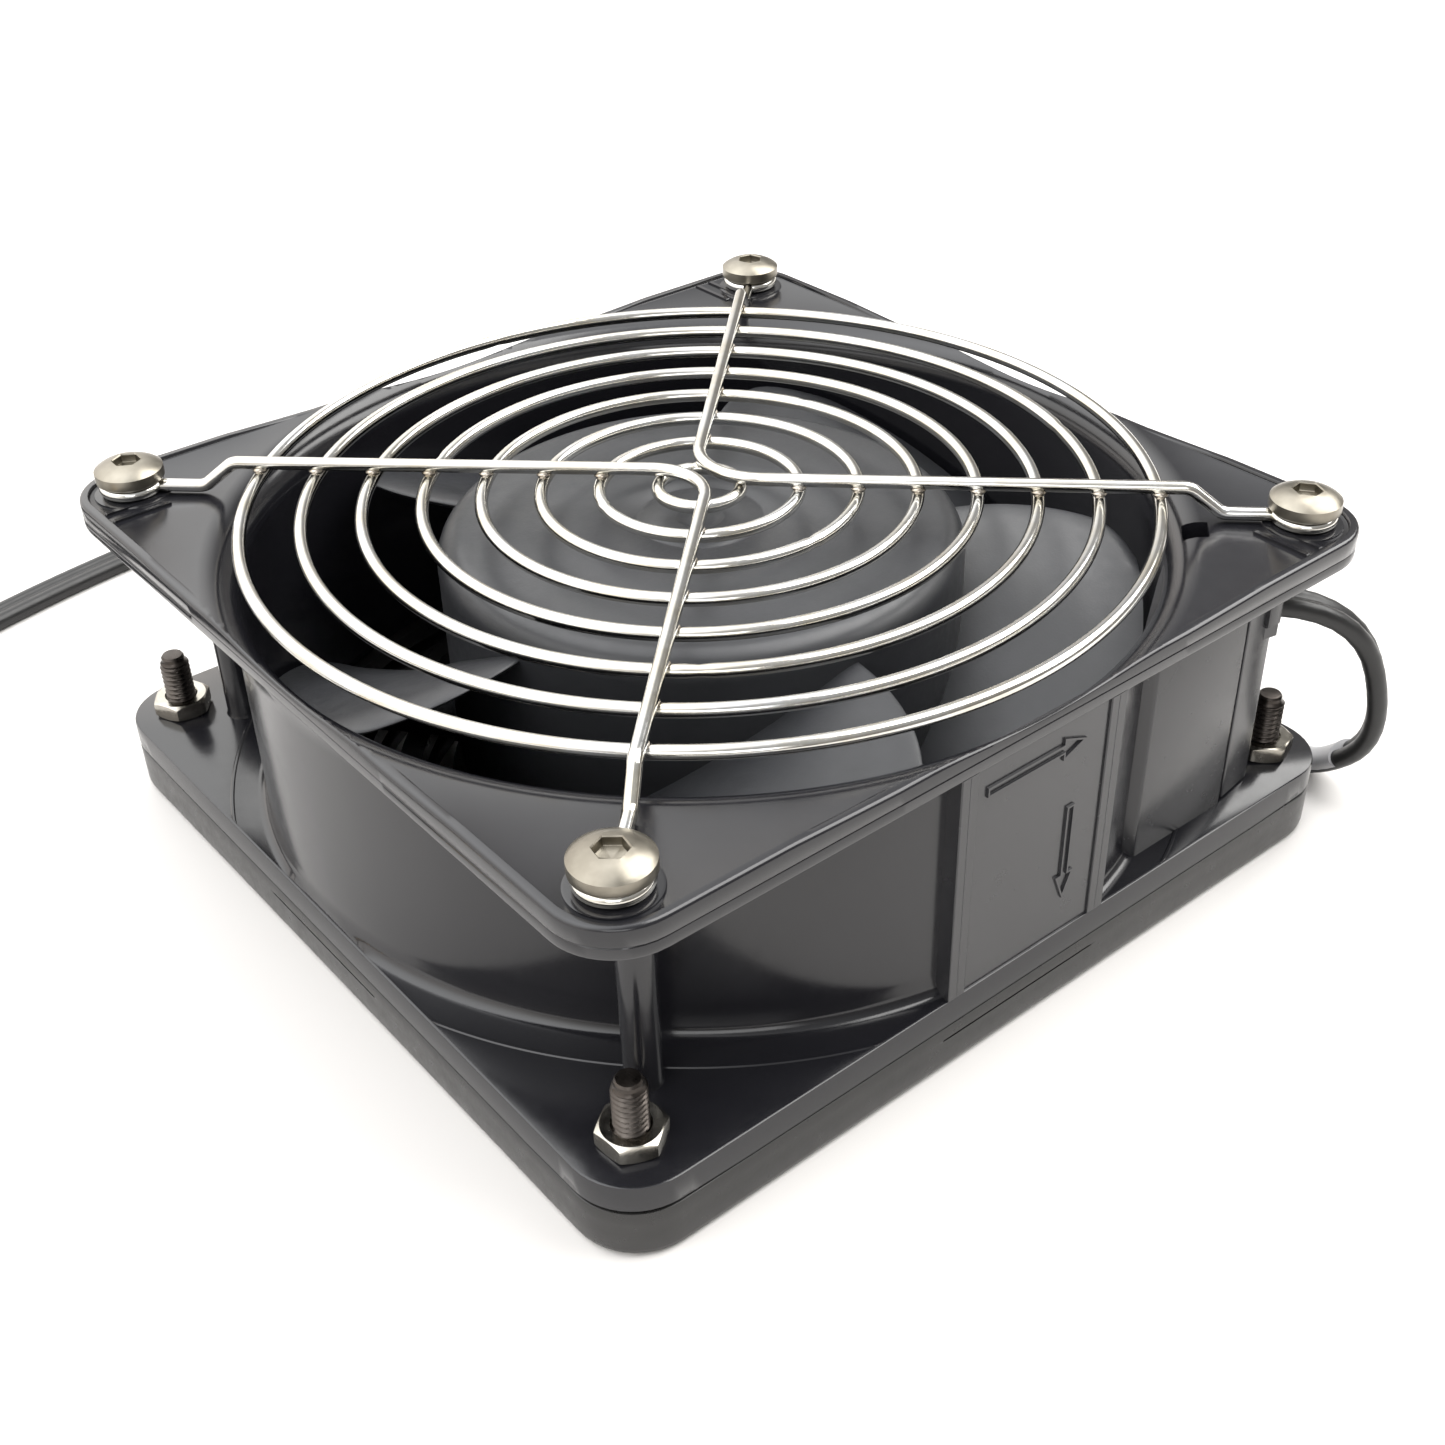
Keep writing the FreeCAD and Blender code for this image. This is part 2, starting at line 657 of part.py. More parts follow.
# ---------------------------------------------------------------- motor, fixed side
seat_low = bearing_low
seat_high = bearing_low + bearing_width
upper_seat = tube_high - bearing_width
foot_top = flange_top
bearing_tube = turned(
    "bearing_tube",
    [
        (tube_lip, tube_low),
        (tube_foot, tube_low),
        (tube_foot, foot_top),
        (tube_outer, foot_top),
        (tube_outer, tube_high),
        (tube_inner, tube_high),
        (tube_inner, upper_seat),
        (tube_lip, upper_seat),
        (tube_lip, seat_high),
        (tube_inner, seat_high),
        (tube_inner, seat_low),
        (tube_lip, seat_low),
    ],
)
keep(bearing_tube, "bearing_tube")

bearings = [(seat_low, seat_high), (upper_seat, tube_high)]
keep(
    group(
        "bearing_outer_rings",
        [tube(f"outer_ring_{n}", tube_inner, race_outer, a, b) for n, (a, b) in enumerate(bearings)],
    ),
    "bearing_outer_rings",
)
keep(
    group(
        "bearing_inner_rings",
        [tube(f"inner_ring_{n}", race_inner, shaft_radius, a, b) for n, (a, b) in enumerate(bearings)],
    ),
    "bearing_inner_rings",
)
balls = []
for n, (low, high) in enumerate(bearings):
    for number in range(BALL_COUNT):
        ball = doc.addObject("Part::Sphere", f"ball_{n}_{number}")
        bind(ball, "Radius", ball_radius)
        x, y = polar(ball_circle, number * 360 / BALL_COUNT)
        place(ball, x, y, (low + high) / 2)
        balls.append(ball)
keep(group("bearing_balls", balls), "bearing_balls")

poles, shoes, bobbins, coils, shades = [], [], [], [], []
for number in range(POLE_COUNT):
    angle = 90.0 * number
    pole_end = stator_radius - MARGIN
    poles.append(bar(f"pole_{number}", MARGIN, pole_end, pole_width, stack_low, stack_high, angle))
    shoe = cylinder(f"shoe_disc_{number}", stator_radius, stack_low, stack_high)
    bind(shoe, "Angle", shoe_span)
    turn = angle - shoe_span.number / 2
    shoe.Placement.Rotation = FreeCAD.Rotation(FreeCAD.Vector(0, 0, 1), turn)
    core = cylinder(f"shoe_core_{number}", shoe_start, stack_low - MARGIN, stack_high + MARGIN)
    shoes.append(cut(f"shoe_{number}", shoe, core))
    pole_space = bar(
        f"pole_space_{number}",
        coil_start - MARGIN,
        coil_end + MARGIN,
        pole_width,
        stack_low,
        stack_high,
        angle,
    )
    inner_wide = pole_width + bobbin_wall * 2
    inner = (inner_wide, stack_low - bobbin_wall, stack_high + bobbin_wall)
    sleeve = bar(f"bobbin_sleeve_{number}", coil_start, coil_end, *inner, angle)
    bobbins.append(cut(f"bobbin_{number}", sleeve, pole_space))
    outer_wide = inner_wide + coil_build * 2
    outer = (outer_wide, stack_low - bobbin_wall - coil_build, stack_high + bobbin_wall + coil_build)
    winding = bar(f"winding_{number}", coil_start, coil_end, *outer, angle)
    core_space = bar(f"core_space_{number}", coil_start - MARGIN, coil_end + MARGIN, *inner, angle)
    coils.append(cut(f"coil_{number}", winding, core_space))
    shades.append((angle, number))

stack = fuse(
    "stator_stack",
    [cylinder("yoke", yoke_radius, stack_low, stack_high)] + poles + shoes,
)
yoke_hole = cylinder("yoke_hole", tube_outer, stack_low - MARGIN, stack_high + MARGIN)
grooves = [
    bar(
        f"shade_groove_{n}",
        shoe_start - MARGIN,
        shade_end,
        shade_width,
        stack_low - MARGIN,
        stack_high + MARGIN,
        angle,
        shade_side,
    )
    for angle, n in shades
]
stack_cuts = fuse("stack_cuts", [yoke_hole] + grooves, False)
keep(cut("stator_laminations", stack, stack_cuts), "stator_laminations")
keep(group("coil_bobbins", bobbins), "coil_bobbins")
keep(group("stator_coils", coils), "stator_coils")
shade_bars = [
    bar(f"shade_{n}", shade_start, shade_end, shade_width, stack_low, stack_high, angle, shade_side)
    for angle, n in shades
]
keep(group("shading_bars", shade_bars), "shading_bars")

keep(cylinder("blank_disc", cap_radius, frame_low, frame_low + cap_thick), "blank_disc")

# ---------------------------------------------------------------- motor, turning side
hub_top = hub_high - hub_wall
keep(cylinder("shaft", shaft_radius, shaft_low, hub_top), "shaft")
keep(
    tube("retaining_clip", clip_radius, shaft_radius, shaft_low + clip_thick, shaft_low + clip_thick * 2),
    "retaining_clip",
)
washer_low = bearing_low - washer_thick
keep(tube("thrust_washer", race_inner, shaft_radius, washer_low, bearing_low), "thrust_washer")
bushing = tube("shaft_bushing", bush_radius, shaft_radius, bush_low, hub_top)
keep(bushing, "shaft_bushing")
spring = tube("preload_washer", race_inner, shaft_radius, tube_high, bush_low)
keep(spring, "preload_washer")

cage_bars = []
bar_spaces = []
for number in range(BAR_COUNT):
    x, y = polar(bar_circle, number * 360 / BAR_COUNT)
    cage_bars.append(cylinder(f"cage_bar_{number}", bar_radius, rotor_low, rotor_high, x, y))
    bar_spaces.append(
        cylinder(f"bar_space_{number}", bar_radius, rotor_low - MARGIN, rotor_high + MARGIN, x, y)
    )
cup_radius = hub_radius - hub_wall
rotor_ring = tube("rotor_ring", cup_radius, rotor_radius, rotor_low, rotor_high)
keep(cut("rotor_laminations", rotor_ring, fuse("bar_holes", bar_spaces, False)), "rotor_laminations")
END_RING_GAP = 0.4
end_ring_inner = rotor_radius + END_RING_GAP
end_rings = [
    tube("end_ring_low", cup_radius, end_ring_inner, rotor_low - ring_thick, rotor_low),
    tube("end_ring_high", cup_radius, end_ring_inner, rotor_high, rotor_high + ring_thick),
]
keep(fuse("rotor_cage", end_rings + cage_bars), "rotor_cage")

# How far a corner of the hub is set in for its rounding to look like an arc.
ARC_SHARE = 0.29
hub_cup = turned(
    "hub_cup",
    [
        (cup_radius, hub_low),
        (hub_radius, hub_low),
        (hub_radius, hub_high - hub_round),
        (hub_radius - hub_round * ARC_SHARE, hub_high - hub_round * ARC_SHARE),
        (hub_flat, hub_high),
        (0, hub_high),
        (0, hub_top),
        (bush_radius, hub_top),
        (bush_radius, boss_low),
        (boss_radius, boss_low),
        (boss_radius, hub_top),
        (hub_flat - hub_wall / 2, hub_top),
        (cup_radius, hub_high - hub_round),
    ],
)

CHORD_STEPS = 7
RADIUS_STEPS = 6
CAMBER = 0.25


def blade_point(radius, share, lift, first):
    """A point of the blade: share 0 is the leading edge, 1 the trailing edge."""
    reach = (radius - hub_radius.number) / (blade_tip.number - hub_radius.number)
    lead = first - blade_sweep.number * max(reach, 0) ** 2
    angle = math.radians(lead - blade_span.number * share)
    fall = share + CAMBER * (share * share - share)
    z = blade_high.number - (blade_high - blade_low).number * fall + lift
    return FreeCAD.Vector(radius * math.cos(angle), radius * math.sin(angle), z)


def blade_solid(first):
    """One blade between two smooth faces, a little longer than it ends up."""
    sides = []
    inner, outer = blade_root.number - 1, blade_tip.number + 1
    for lift in (0, -blade_thick.number):
        grid = []
        for i in range(RADIUS_STEPS):
            radius = inner + (outer - inner) * i / (RADIUS_STEPS - 1)
            shares = [j / (CHORD_STEPS - 1) for j in range(CHORD_STEPS)]
            grid.append([blade_point(radius, share, lift, first) for share in shares])
        surface = Part.BSplineSurface()
        surface.interpolate(grid)
        sides.append(surface)
    faces = [surface.toShape() for surface in sides]
    bounds = sides[0].bounds()
    for index in (0, 1):
        edges = [surface.uIso(bounds[index]).toShape() for surface in sides]
        faces.append(Part.makeRuledSurface(*edges))
    for index in (2, 3):
        edges = [surface.vIso(bounds[index]).toShape() for surface in sides]
        faces.append(Part.makeRuledSurface(*edges))
    skin = Part.Shell(faces)
    skin.sewShape()
    solid = Part.Solid(Part.Shell(skin.Faces))
    if solid.Volume < 0:
        solid.reverse()
    return solid


blades = [
    drawn(f"blade_{number}", blade_solid(blade_start.number - 360 / BLADE_COUNT * number))
    for number in range(BLADE_COUNT)
]
blade_zone = tube("blade_zone", blade_tip, blade_root, blade_low - MARGIN * 2, blade_high + MARGIN)
blade_parts = [common(f"blade_part_{n}", blade, blade_zone) for n, blade in enumerate(blades)]
keep(fuse("impeller", [hub_cup] + blade_parts, False), "impeller")

# ---------------------------------------------------------------- terminals
keep(
    bar("terminal_block", block_start, block_end, block_width, block_low, block_high, strut_angle),
    "terminal_block",
)
block_middle = (block_start + block_end) / 2
sides = (lead_pitch / 2, -lead_pitch / 2)
keep(
    group(
        "terminal_tabs",
        [
            bar(
                f"tab_{n}",
                block_middle - tab_thick / 2,
                block_middle + tab_thick / 2,
                tab_width,
                block_high,
                tab_high,
                strut_angle,
                side,
            )
            for n, side in enumerate(sides)
        ],
    ),
    "terminal_tabs",
)
LEAD_BEND = 2.5
lead_height = channel_floor + lead_radius
leads = []
for n, side in enumerate(sides):
    start = polar(channel_start + 1, strut_angle, side)
    corner = polar(block_middle, strut_angle, side)
    points = [
        vector(*start, lead_height),
        vector(*corner, lead_height),
        vector(*corner, block_low),
    ]
    path, _ = route(points, [LEAD_BEND])
    leads.append(drawn(f"lead_{n}", sweep(path, lead_radius.number)))
keep(group("inner_leads", leads), "inner_leads")

cover_left = column_right + cover_gap
slope = (cover_bend.number - column_face.number) / (cover_right - cover_left).number
facet = math.hypot(1, slope)
inner_right = cover_right - cover_wall
inner_face = column_face - cover_wall * facet
shell_outline = [
    (cover_left, -column_face),
    (cover_right, -cover_bend),
    (cover_right, -cover_back),
    (cover_root, -cover_back),
]
open_side = column_right - MARGIN
inner_outline = [
    (open_side, -inner_face),
    (cover_left, -inner_face),
    (inner_right, -inner_face - (inner_right - cover_left) * slope),
    (inner_right, -cover_back - cover_wall),
    (open_side, -cover_back - cover_wall),
]
cover_solid = prism("cover_solid", shell_outline, flange_top, flange_under)
cover_hollow = prism("cover_hollow", inner_outline, flange_top - MARGIN, flange_under + MARGIN)
facet_angle = math.degrees(math.atan(-slope))
latch_x = cover_right - latch_width / facet
latch_y = -cover_bend + latch_width * (slope / facet)


def latch(name, rise, low):
    """A tab on the slanted face of the cover, at its outer edge."""
    lean = math.radians(facet_angle)
    x = latch_x + rise * math.sin(lean)
    y = latch_y - rise * math.cos(lean)
    high = flange_under - low
    return box(name, latch_width, rise + cover_wall / 2, high, x, y, low, facet_angle)


latches = [latch("latch", latch_rise, latch_low), latch("latch_step", latch_rise / 2, step_low)]
cover_shell = cut("cover_shell", fuse("cover_outside", [cover_solid] + latches), cover_hollow)


def along_x(name, radius, start, end, y, z):
    """A cylinder along +X."""
    obj = doc.addObject("Part::Cylinder", name)
    bind(obj, "Radius", radius)
    bind(obj, "Height", as_size(end) - start)
    place(obj, start, y, z)
    obj.Placement.Rotation = FreeCAD.Rotation(FreeCAD.Vector(0, 1, 0), 90)
    return obj


spot = (-lead_side, lead_out)
opening = along_x("lead_opening", grommet_radius, inner_right - MARGIN, cover_right + MARGIN, *spot)
keep(cut("terminal_cover", cover_shell, opening), "terminal_cover")
grommet_end = cover_right + grommet_long
grommet = along_x("grommet_body", grommet_radius, inner_right, grommet_end, *spot)
keep(grommet, "strain_relief")

# ---------------------------------------------------------------- wire guard
for number in range(RING_COUNT):
    radius = ring_first + ring_pitch * number
    keep(torus(f"guard_ring_{number + 1}", radius, wire_radius, ring_height), f"guard_ring_{number + 1}")

leg_high = ring_height + wire_radius * 2
leg_low = frame_high + wire_radius


def guard_wire(name, vertex, bend, side):
    """A bent wire with two legs to the corners of one side and an eye on each."""
    middle = FreeCAD.Vector(vertex.number, 0, leg_high.number)
    legs = []
    for sign in (-1, 1):
        eye = vector(hole * side, hole * sign, leg_high)
        out = (eye - middle).normalize()
        reach = eye.distanceToPoint(middle)
        corner = (hole * math.sqrt(2)).number
        marks = []
        for radius, height in (
            (corner - eye_radius.number, leg_low),
            (jog_low.number, leg_low),
            (jog_high.number, leg_high),
        ):
            mark = middle + out * (reach - (corner - radius))
            mark.z = height.number
            marks.append(mark)
        legs.append(marks)
    points = legs[0] + [middle] + legs[1][::-1]
    jog = jog_round.number
    path, _ = route(points, [jog, jog, bend.number, jog, jog])
    wire = drawn(name + "_wire", sweep(path, wire_radius.number))
    eyes = [
        torus(f"{name}_eye_{n}", eye_radius, wire_radius, leg_low, hole * side, hole * sign)
        for n, sign in enumerate((-1, 1))
    ]
    keep(fuse(name, [wire] + eyes, False), name)


guard_wire("guard_wire_left", vertex_left, bend_left, -1)
guard_wire("guard_wire_right", vertex_right, bend_right, 1)

# ---------------------------------------------------------------- fasteners
head_low = frame_high + wire_radius * 2
head_top = head_low + head_height
nut_under = flange_under - nut_height
stud_low = flange_top + thin_nut + stud_gap
HEAD_FLAT = 0.55
screws, screw_nuts, bolts, bolt_nuts = [], [], [], []
dome_low = head_low + head_height / 4
for n, (sx, sy) in enumerate(CORNERS):
    spot = (hole * sx, hole * sy)
    skirt = cylinder(f"skirt_{n}", head_radius, head_low, dome_low, *spot)
    dome = doc.addObject("Part::Cone", f"dome_{n}")
    bind(dome, "Radius1", head_radius)
    bind(dome, "Radius2", head_radius * HEAD_FLAT)
    bind(dome, "Height", head_top - dome_low)
    place(dome, *spot, dome_low)
    shank = cylinder(f"shank_{n}", screw_radius, screw_end, head_low + head_height / 8, *spot)
    blank = fuse(f"screw_blank_{n}", [skirt, dome, shank])
    socket = hexagon(f"socket_{n}", socket_radius, head_top - socket_depth, head_top + MARGIN, *spot)
    screws.append(cut(f"screw_{n}", blank, socket))
    nut = hexagon(f"nut_blank_{n}", nut_radius, nut_under, flange_under, *spot)
    bore_tool = cylinder(f"nut_bore_{n}", screw_radius, nut_under - MARGIN, flange_under + MARGIN, *spot)
    screw_nuts.append(cut(f"nut_{n}", nut, bore_tool))
    head = cylinder(f"bolt_head_{n}", bolt_head, tray_floor, bolt_seat, *spot)
    rod = cylinder(f"bolt_rod_{n}", screw_radius, tray_floor + bolt_socket, stud_low, *spot)
    stud = cylinder(f"bolt_stud_{n}", thread_radius, stud_low, bolt_tip, *spot)
    key = hexagon(f"bolt_key_{n}", socket_radius, tray_floor - MARGIN, tray_floor + bolt_socket, *spot)
    bolts.append(cut(f"bolt_{n}", fuse(f"bolt_blank_{n}", [head, rod, stud]), key))
    nut = hexagon(f"low_nut_blank_{n}", nut_radius, flange_top, flange_top + thin_nut, *spot)
    bore_tool = cylinder(f"low_nut_bore_{n}", screw_radius, frame_low, flange_top + thin_nut * 2, *spot)
    bolt_nuts.append(cut(f"low_nut_{n}", nut, bore_tool))
keep(group("guard_screws", screws), "guard_screws")
keep(group("guard_nuts", screw_nuts), "guard_nuts")
keep(group("mount_bolts", bolts), "mount_bolts")
keep(group("mount_nuts", bolt_nuts), "mount_nuts")

# ---------------------------------------------------------------- guard unit
def grid(name, low, high):
    """Ring bars and straight bars that fill a round opening."""
    shapes = []
    for number in range(GRID_RINGS):
        radius = grid_first + grid_pitch * number
        outer, inner = radius + grid_bar / 2, radius - grid_bar / 2
        shapes.append(tube(f"{name}_ring_{number}", outer, inner, low, high))
    shapes.append(cylinder(f"{name}_middle", grid_first, low, high))
    start, end = grid_first, grid_open + MARGIN / 2
    for number in range(GRID_SPOKES):
        angle = number * 360 / GRID_SPOKES
        shapes.append(bar(f"{name}_spoke_{number}", start, end, grid_spoke, low, high, angle))
    return shapes


tray_half = frame_half - tray_wall
tray_corner = frame_corner - tray_wall
tray_solid = rounded_plate("tray_solid", frame_half, frame_corner, 0, tray_high)
tray_space = rounded_plate("tray_space", tray_half, tray_corner, tray_floor, tray_high + MARGIN)
tray_opening = cylinder("tray_opening", grid_open, -MARGIN, tray_floor + MARGIN)
snap_half = snap_width / 2
snap_spaces = []
snap_reach = frame_half + MARGIN
snap_core = tray_half - MARGIN
for n, (middle, upright) in enumerate(
    ((snap_south, False), (snap_south, False), (snap_west, True), (snap_west, True))
):
    side = 1 if n % 2 else -1
    along = (middle - snap_half, middle + snap_half)
    across = (-snap_reach, -snap_core) if side < 0 else (snap_core, snap_reach)
    x, y = (across, along) if upright else (along, across)
    snap_spaces.append(span(f"snap_space_{n}", x, y, (snap_low, tray_high + MARGIN)))
tray_hollow = fuse("tray_hollow", [tray_space, tray_opening] + snap_spaces, False)
tray_shell = cut("tray_shell", tray_solid, tray_hollow)
keep(fuse("snap_tray", [tray_shell] + grid("tray_grid", as_size(0), tray_floor)), "snap_tray")

plate_half = tray_half - plate_play
plate_corner = tray_corner - plate_play
guard_plate = rounded_plate("guard_plate_solid", plate_half, plate_corner, bolt_seat, frame_low)
snaps = []
for n, (middle, upright) in enumerate(
    ((snap_south, False), (snap_south, False), (snap_west, True), (snap_west, True))
):
    side = 1 if n % 2 else -1
    room = snap_half - plate_play
    along = (middle - room, middle + room)
    edge = frame_half - plate_play
    across = (-edge, -snap_core) if side < 0 else (snap_core, edge)
    x, y = (across, along) if upright else (along, across)
    snaps.append(span(f"snap_{n}", x, y, (snap_low + plate_play, frame_low)))
plate_opening = cylinder("plate_opening", grid_open, bolt_seat - MARGIN, frame_low + MARGIN)
bolt_holes = [
    cylinder(f"bolt_hole_{n}", hole_radius, bolt_seat - MARGIN, frame_low + MARGIN, hole * sx, hole * sy)
    for n, (sx, sy) in enumerate(CORNERS)
]
plate_shell = cut(
    "plate_shell",
    fuse("plate_with_snaps", [guard_plate] + snaps),
    fuse("plate_openings", [plate_opening] + bolt_holes, False),
)
keep(fuse("guard_plate", [plate_shell] + grid("plate_grid", bolt_seat, frame_low)), "guard_plate")

# ---------------------------------------------------------------- lead, coil and plug
floor_height = (cord_width / 2).number
start_x = grommet_end.number
CORD_ROUTE = [
    FreeCAD.Vector(start_x, -lead_side.number, lead_out.number),
    FreeCAD.Vector(58.5, -58.5, 34.5),
    FreeCAD.Vector(64.7, -63, 13),
    FreeCAD.Vector(65.3, -53.5, floor_height),
    FreeCAD.Vector(65.8, -45, floor_height),
    FreeCAD.Vector(66.5, -19, floor_height),
    FreeCAD.Vector(66, 32, floor_height),
    FreeCAD.Vector(64.5, 76, floor_height),
    FreeCAD.Vector(41, 107, floor_height),
    FreeCAD.Vector(2, 118.5, floor_height),
    FreeCAD.Vector(-37, 116.2, floor_height),
    FreeCAD.Vector(-72, 108.2, floor_height),
    FreeCAD.Vector(-89, 102.8, floor_height),
]
cord_path, cord_radii = route(CORD_ROUTE, [None] * (len(CORD_ROUTE) - 2))
cord = drawn("power_cord", sweep(cord_path, floor_height))
keep(cord, "power_cord")
print("cord bends", [round(radius, 1) for radius in cord_radii])
section = math.pi * floor_height**2
print("cord volume over section times length", cord.Shape.Volume / (section * cord_path.Length))
print("cord length", cord_path.Length)

coil_spot = (coil_x, coil_y)
keep(tube("cord_coil", coil_outer, coil_inner, coil_low, coil_high, *coil_spot), "cord_coil")

TIE_ANGLE = 60
tie_outside = bar(
    "tie_outside",
    coil_inner - tie_thick,
    coil_outer + tie_thick,
    tie_width,
    coil_low - tie_thick,
    coil_high + tie_thick,
    TIE_ANGLE,
)
tie_ring = cut(
    "tie_ring",
    tie_outside,
    tube("tie_space", coil_outer, coil_inner, coil_low, coil_high),
)
place(tie_ring, coil_x, coil_y, 0)
keep(tie_ring, "coil_tie")

PLUG_NECK = 0.4
TAIL_OFFSET = 5.5
TAIL_ROUTE = [
    vector(coil_x - TAIL_OFFSET, coil_y - coil_outer + cord_width, plug_high / 2),
    vector(-119, 96, plug_high / 2),
    vector(-128.5, 88.5, plug_high / 2),
    vector(plug_middle, 77.5, plug_high / 2),
    vector(plug_middle, plug_rear, plug_high / 2),
]
tail_path, tail_radii = route(TAIL_ROUTE, [None] * (len(TAIL_ROUTE) - 2))
keep(drawn("cord_tail", sweep(tail_path, floor_height)), "cord_tail")
print("tail bends", [round(radius, 1) for radius in tail_radii], "length", tail_path.Length)

plug_front = plug_rear - plug_long
neck = plug_rear - plug_long * PLUG_NECK
plug_body = prism(
    "plug_body",
    [
        (plug_middle - plug_slim / 2, plug_rear),
        (plug_middle + plug_slim / 2, plug_rear),
        (plug_middle + plug_wide / 2, neck),
        (plug_middle + plug_wide / 2, plug_front),
        (plug_middle - plug_wide / 2, plug_front),
        (plug_middle - plug_wide / 2, neck),
    ],
    0,
    plug_high,
)
keep(plug_body, "plug_body")
pins = []
for n, sign in enumerate((-1, 1)):
    middle = plug_middle + pin_pitch / 2 * sign
    across = (middle - pin_thick / 2, middle + pin_thick / 2)
    upright = (plug_high / 2 - pin_wide / 2, plug_high / 2 + pin_wide / 2)
    pins.append(span(f"pin_{n}", across, (plug_front - pin_long, plug_front), upright))
keep(group("plug_pins", pins), "plug_pins")

# The sleeve sits on the lead where it reaches the floor, and is slit underneath.
SLEEVE_FROM = 6
SLEEVE_LONG = 7
SLEEVE_SLIT = 0.4
sleeve_spot = CORD_ROUTE[3] + (CORD_ROUTE[4] - CORD_ROUTE[3]).normalize() * SLEEVE_FROM
heading = (CORD_ROUTE[4] - CORD_ROUTE[3]).normalize()
sleeve_solid = Part.makeCylinder(sleeve_radius.number, SLEEVE_LONG, sleeve_spot, heading)
sleeve_core = Part.makeCylinder(floor_height, SLEEVE_LONG, sleeve_spot, heading)
above_floor = Part.makeBox(
    frame_half.number * 2,
    frame_half.number * 2,
    lead_out.number,
    FreeCAD.Vector(0, -frame_half.number * 2, SLEEVE_SLIT),
)
keep(drawn("cord_sleeve", sleeve_solid.cut(sleeve_core).common(above_floor)), "cord_sleeve")

doc.recompute()
os.makedirs("parts", exist_ok=True)
bad = [
    obj.Name
    for obj in doc.Objects
    if "Invalid" in obj.State or "Error" in obj.State
]
if bad:
    raise RuntimeError(f"objects in error: {bad}")
for obj in nodes:
    if obj.Shape.isNull() or not obj.Shape.isValid():
        raise RuntimeError(f"{obj.Label} has no valid shape")
    obj.Shape.exportStep(os.path.join("parts", obj.Label + ".step"))
    size = obj.Shape.BoundBox
    planes = (size.XMin, size.XMax, size.YMin, size.YMax, size.ZMin, size.ZMax)
    planes = [round(plane, 2) for plane in planes]
    print(obj.Label, len(obj.Shape.Solids), round(obj.Shape.Volume, 1), planes)
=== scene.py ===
import math

import bmesh
import bpy
from mathutils import Matrix, Vector


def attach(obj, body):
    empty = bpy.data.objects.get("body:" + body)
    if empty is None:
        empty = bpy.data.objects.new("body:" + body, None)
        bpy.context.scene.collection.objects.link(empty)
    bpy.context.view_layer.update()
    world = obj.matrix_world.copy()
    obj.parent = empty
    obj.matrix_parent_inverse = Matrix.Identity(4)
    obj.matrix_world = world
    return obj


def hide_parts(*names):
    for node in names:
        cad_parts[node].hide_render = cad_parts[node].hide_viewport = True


# A case fan with a wire guard, a base grid unit and a plug lead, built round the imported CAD.
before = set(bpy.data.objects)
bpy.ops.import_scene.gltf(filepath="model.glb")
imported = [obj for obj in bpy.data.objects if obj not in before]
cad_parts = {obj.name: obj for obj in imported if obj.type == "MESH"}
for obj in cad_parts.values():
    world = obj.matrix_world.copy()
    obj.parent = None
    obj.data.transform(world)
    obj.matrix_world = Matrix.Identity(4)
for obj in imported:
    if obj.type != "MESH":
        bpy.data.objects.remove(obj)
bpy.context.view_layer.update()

MM = 0.001
UP = Vector((0, 0, 1))
CORNERS = [(-1, -1), (1, -1), (1, 1), (-1, 1)]
BEVEL_ANGLE, JOINT_SLIM = 35, 0.86


# ---------------------------------------------------------------- mesh helpers
def smooth_by_angle(mesh, degrees):
    """Smooth faces, with the edges sharper than the angle kept sharp."""
    bm = bmesh.new()
    bm.from_mesh(mesh)
    limit = math.radians(degrees)
    for face in bm.faces:
        face.smooth = True
    for edge in bm.edges:
        edge.smooth = len(edge.link_faces) == 2 and edge.calc_face_angle(0) < limit
    bm.to_mesh(mesh)
    bm.free()


def placed(name, data):
    """A new object in the scene."""
    obj = bpy.data.objects.new(name, data)
    bpy.context.scene.collection.objects.link(obj)
    return obj


def piece(name, verts, faces, material, body="frame", node=None, slot=None, sharp=40):
    """A new mesh object from points in millimetres, riding on a body."""
    mesh = bpy.data.meshes.new(name)
    mesh.from_pydata([tuple(c * MM for c in v) for v in verts], [], faces)
    mesh.validate()
    bm = bmesh.new()
    bm.from_mesh(mesh)
    bmesh.ops.remove_doubles(bm, verts=bm.verts, dist=1e-7)
    bmesh.ops.recalc_face_normals(bm, faces=bm.faces)
    bm.to_mesh(mesh)
    bm.free()
    smooth_by_angle(mesh, sharp)
    obj = placed(name, mesh)
    obj.data.materials.append(material)
    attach(obj, body)
    if node:
        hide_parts(*([node] if isinstance(node, str) else node))
    return obj


def grid_faces(rows, cols, loop_rows):
    """Faces between closed rows of points; loop_rows joins the last row to the first."""
    faces = []
    for i in range(rows if loop_rows else rows - 1):
        here, beyond = i * cols, (i + 1) % rows * cols
        for j in range(cols):
            ahead = (j + 1) % cols
            faces.append((here + j, here + ahead, beyond + ahead, beyond + j))
    return faces


def loft(rings, loop=False, caps=True):
    """Faces between equal rings of points; loop joins the last ring to the first."""
    verts = [tuple(p) for ring in rings for p in ring]
    cols = len(rings[0])
    faces = grid_faces(len(rings), cols, loop)
    if caps and not loop:
        faces.append(tuple(range(cols))[::-1])
        faces.append(tuple(len(verts) - cols + j for j in range(cols)))
    return verts, faces


def join(*parts):
    """Several (points, faces) pairs as one."""
    verts, faces = [], []
    for part_verts, part_faces in parts:
        base = len(verts)
        verts += part_verts
        faces += [tuple(base + i for i in face) for face in part_faces]
    return verts, faces


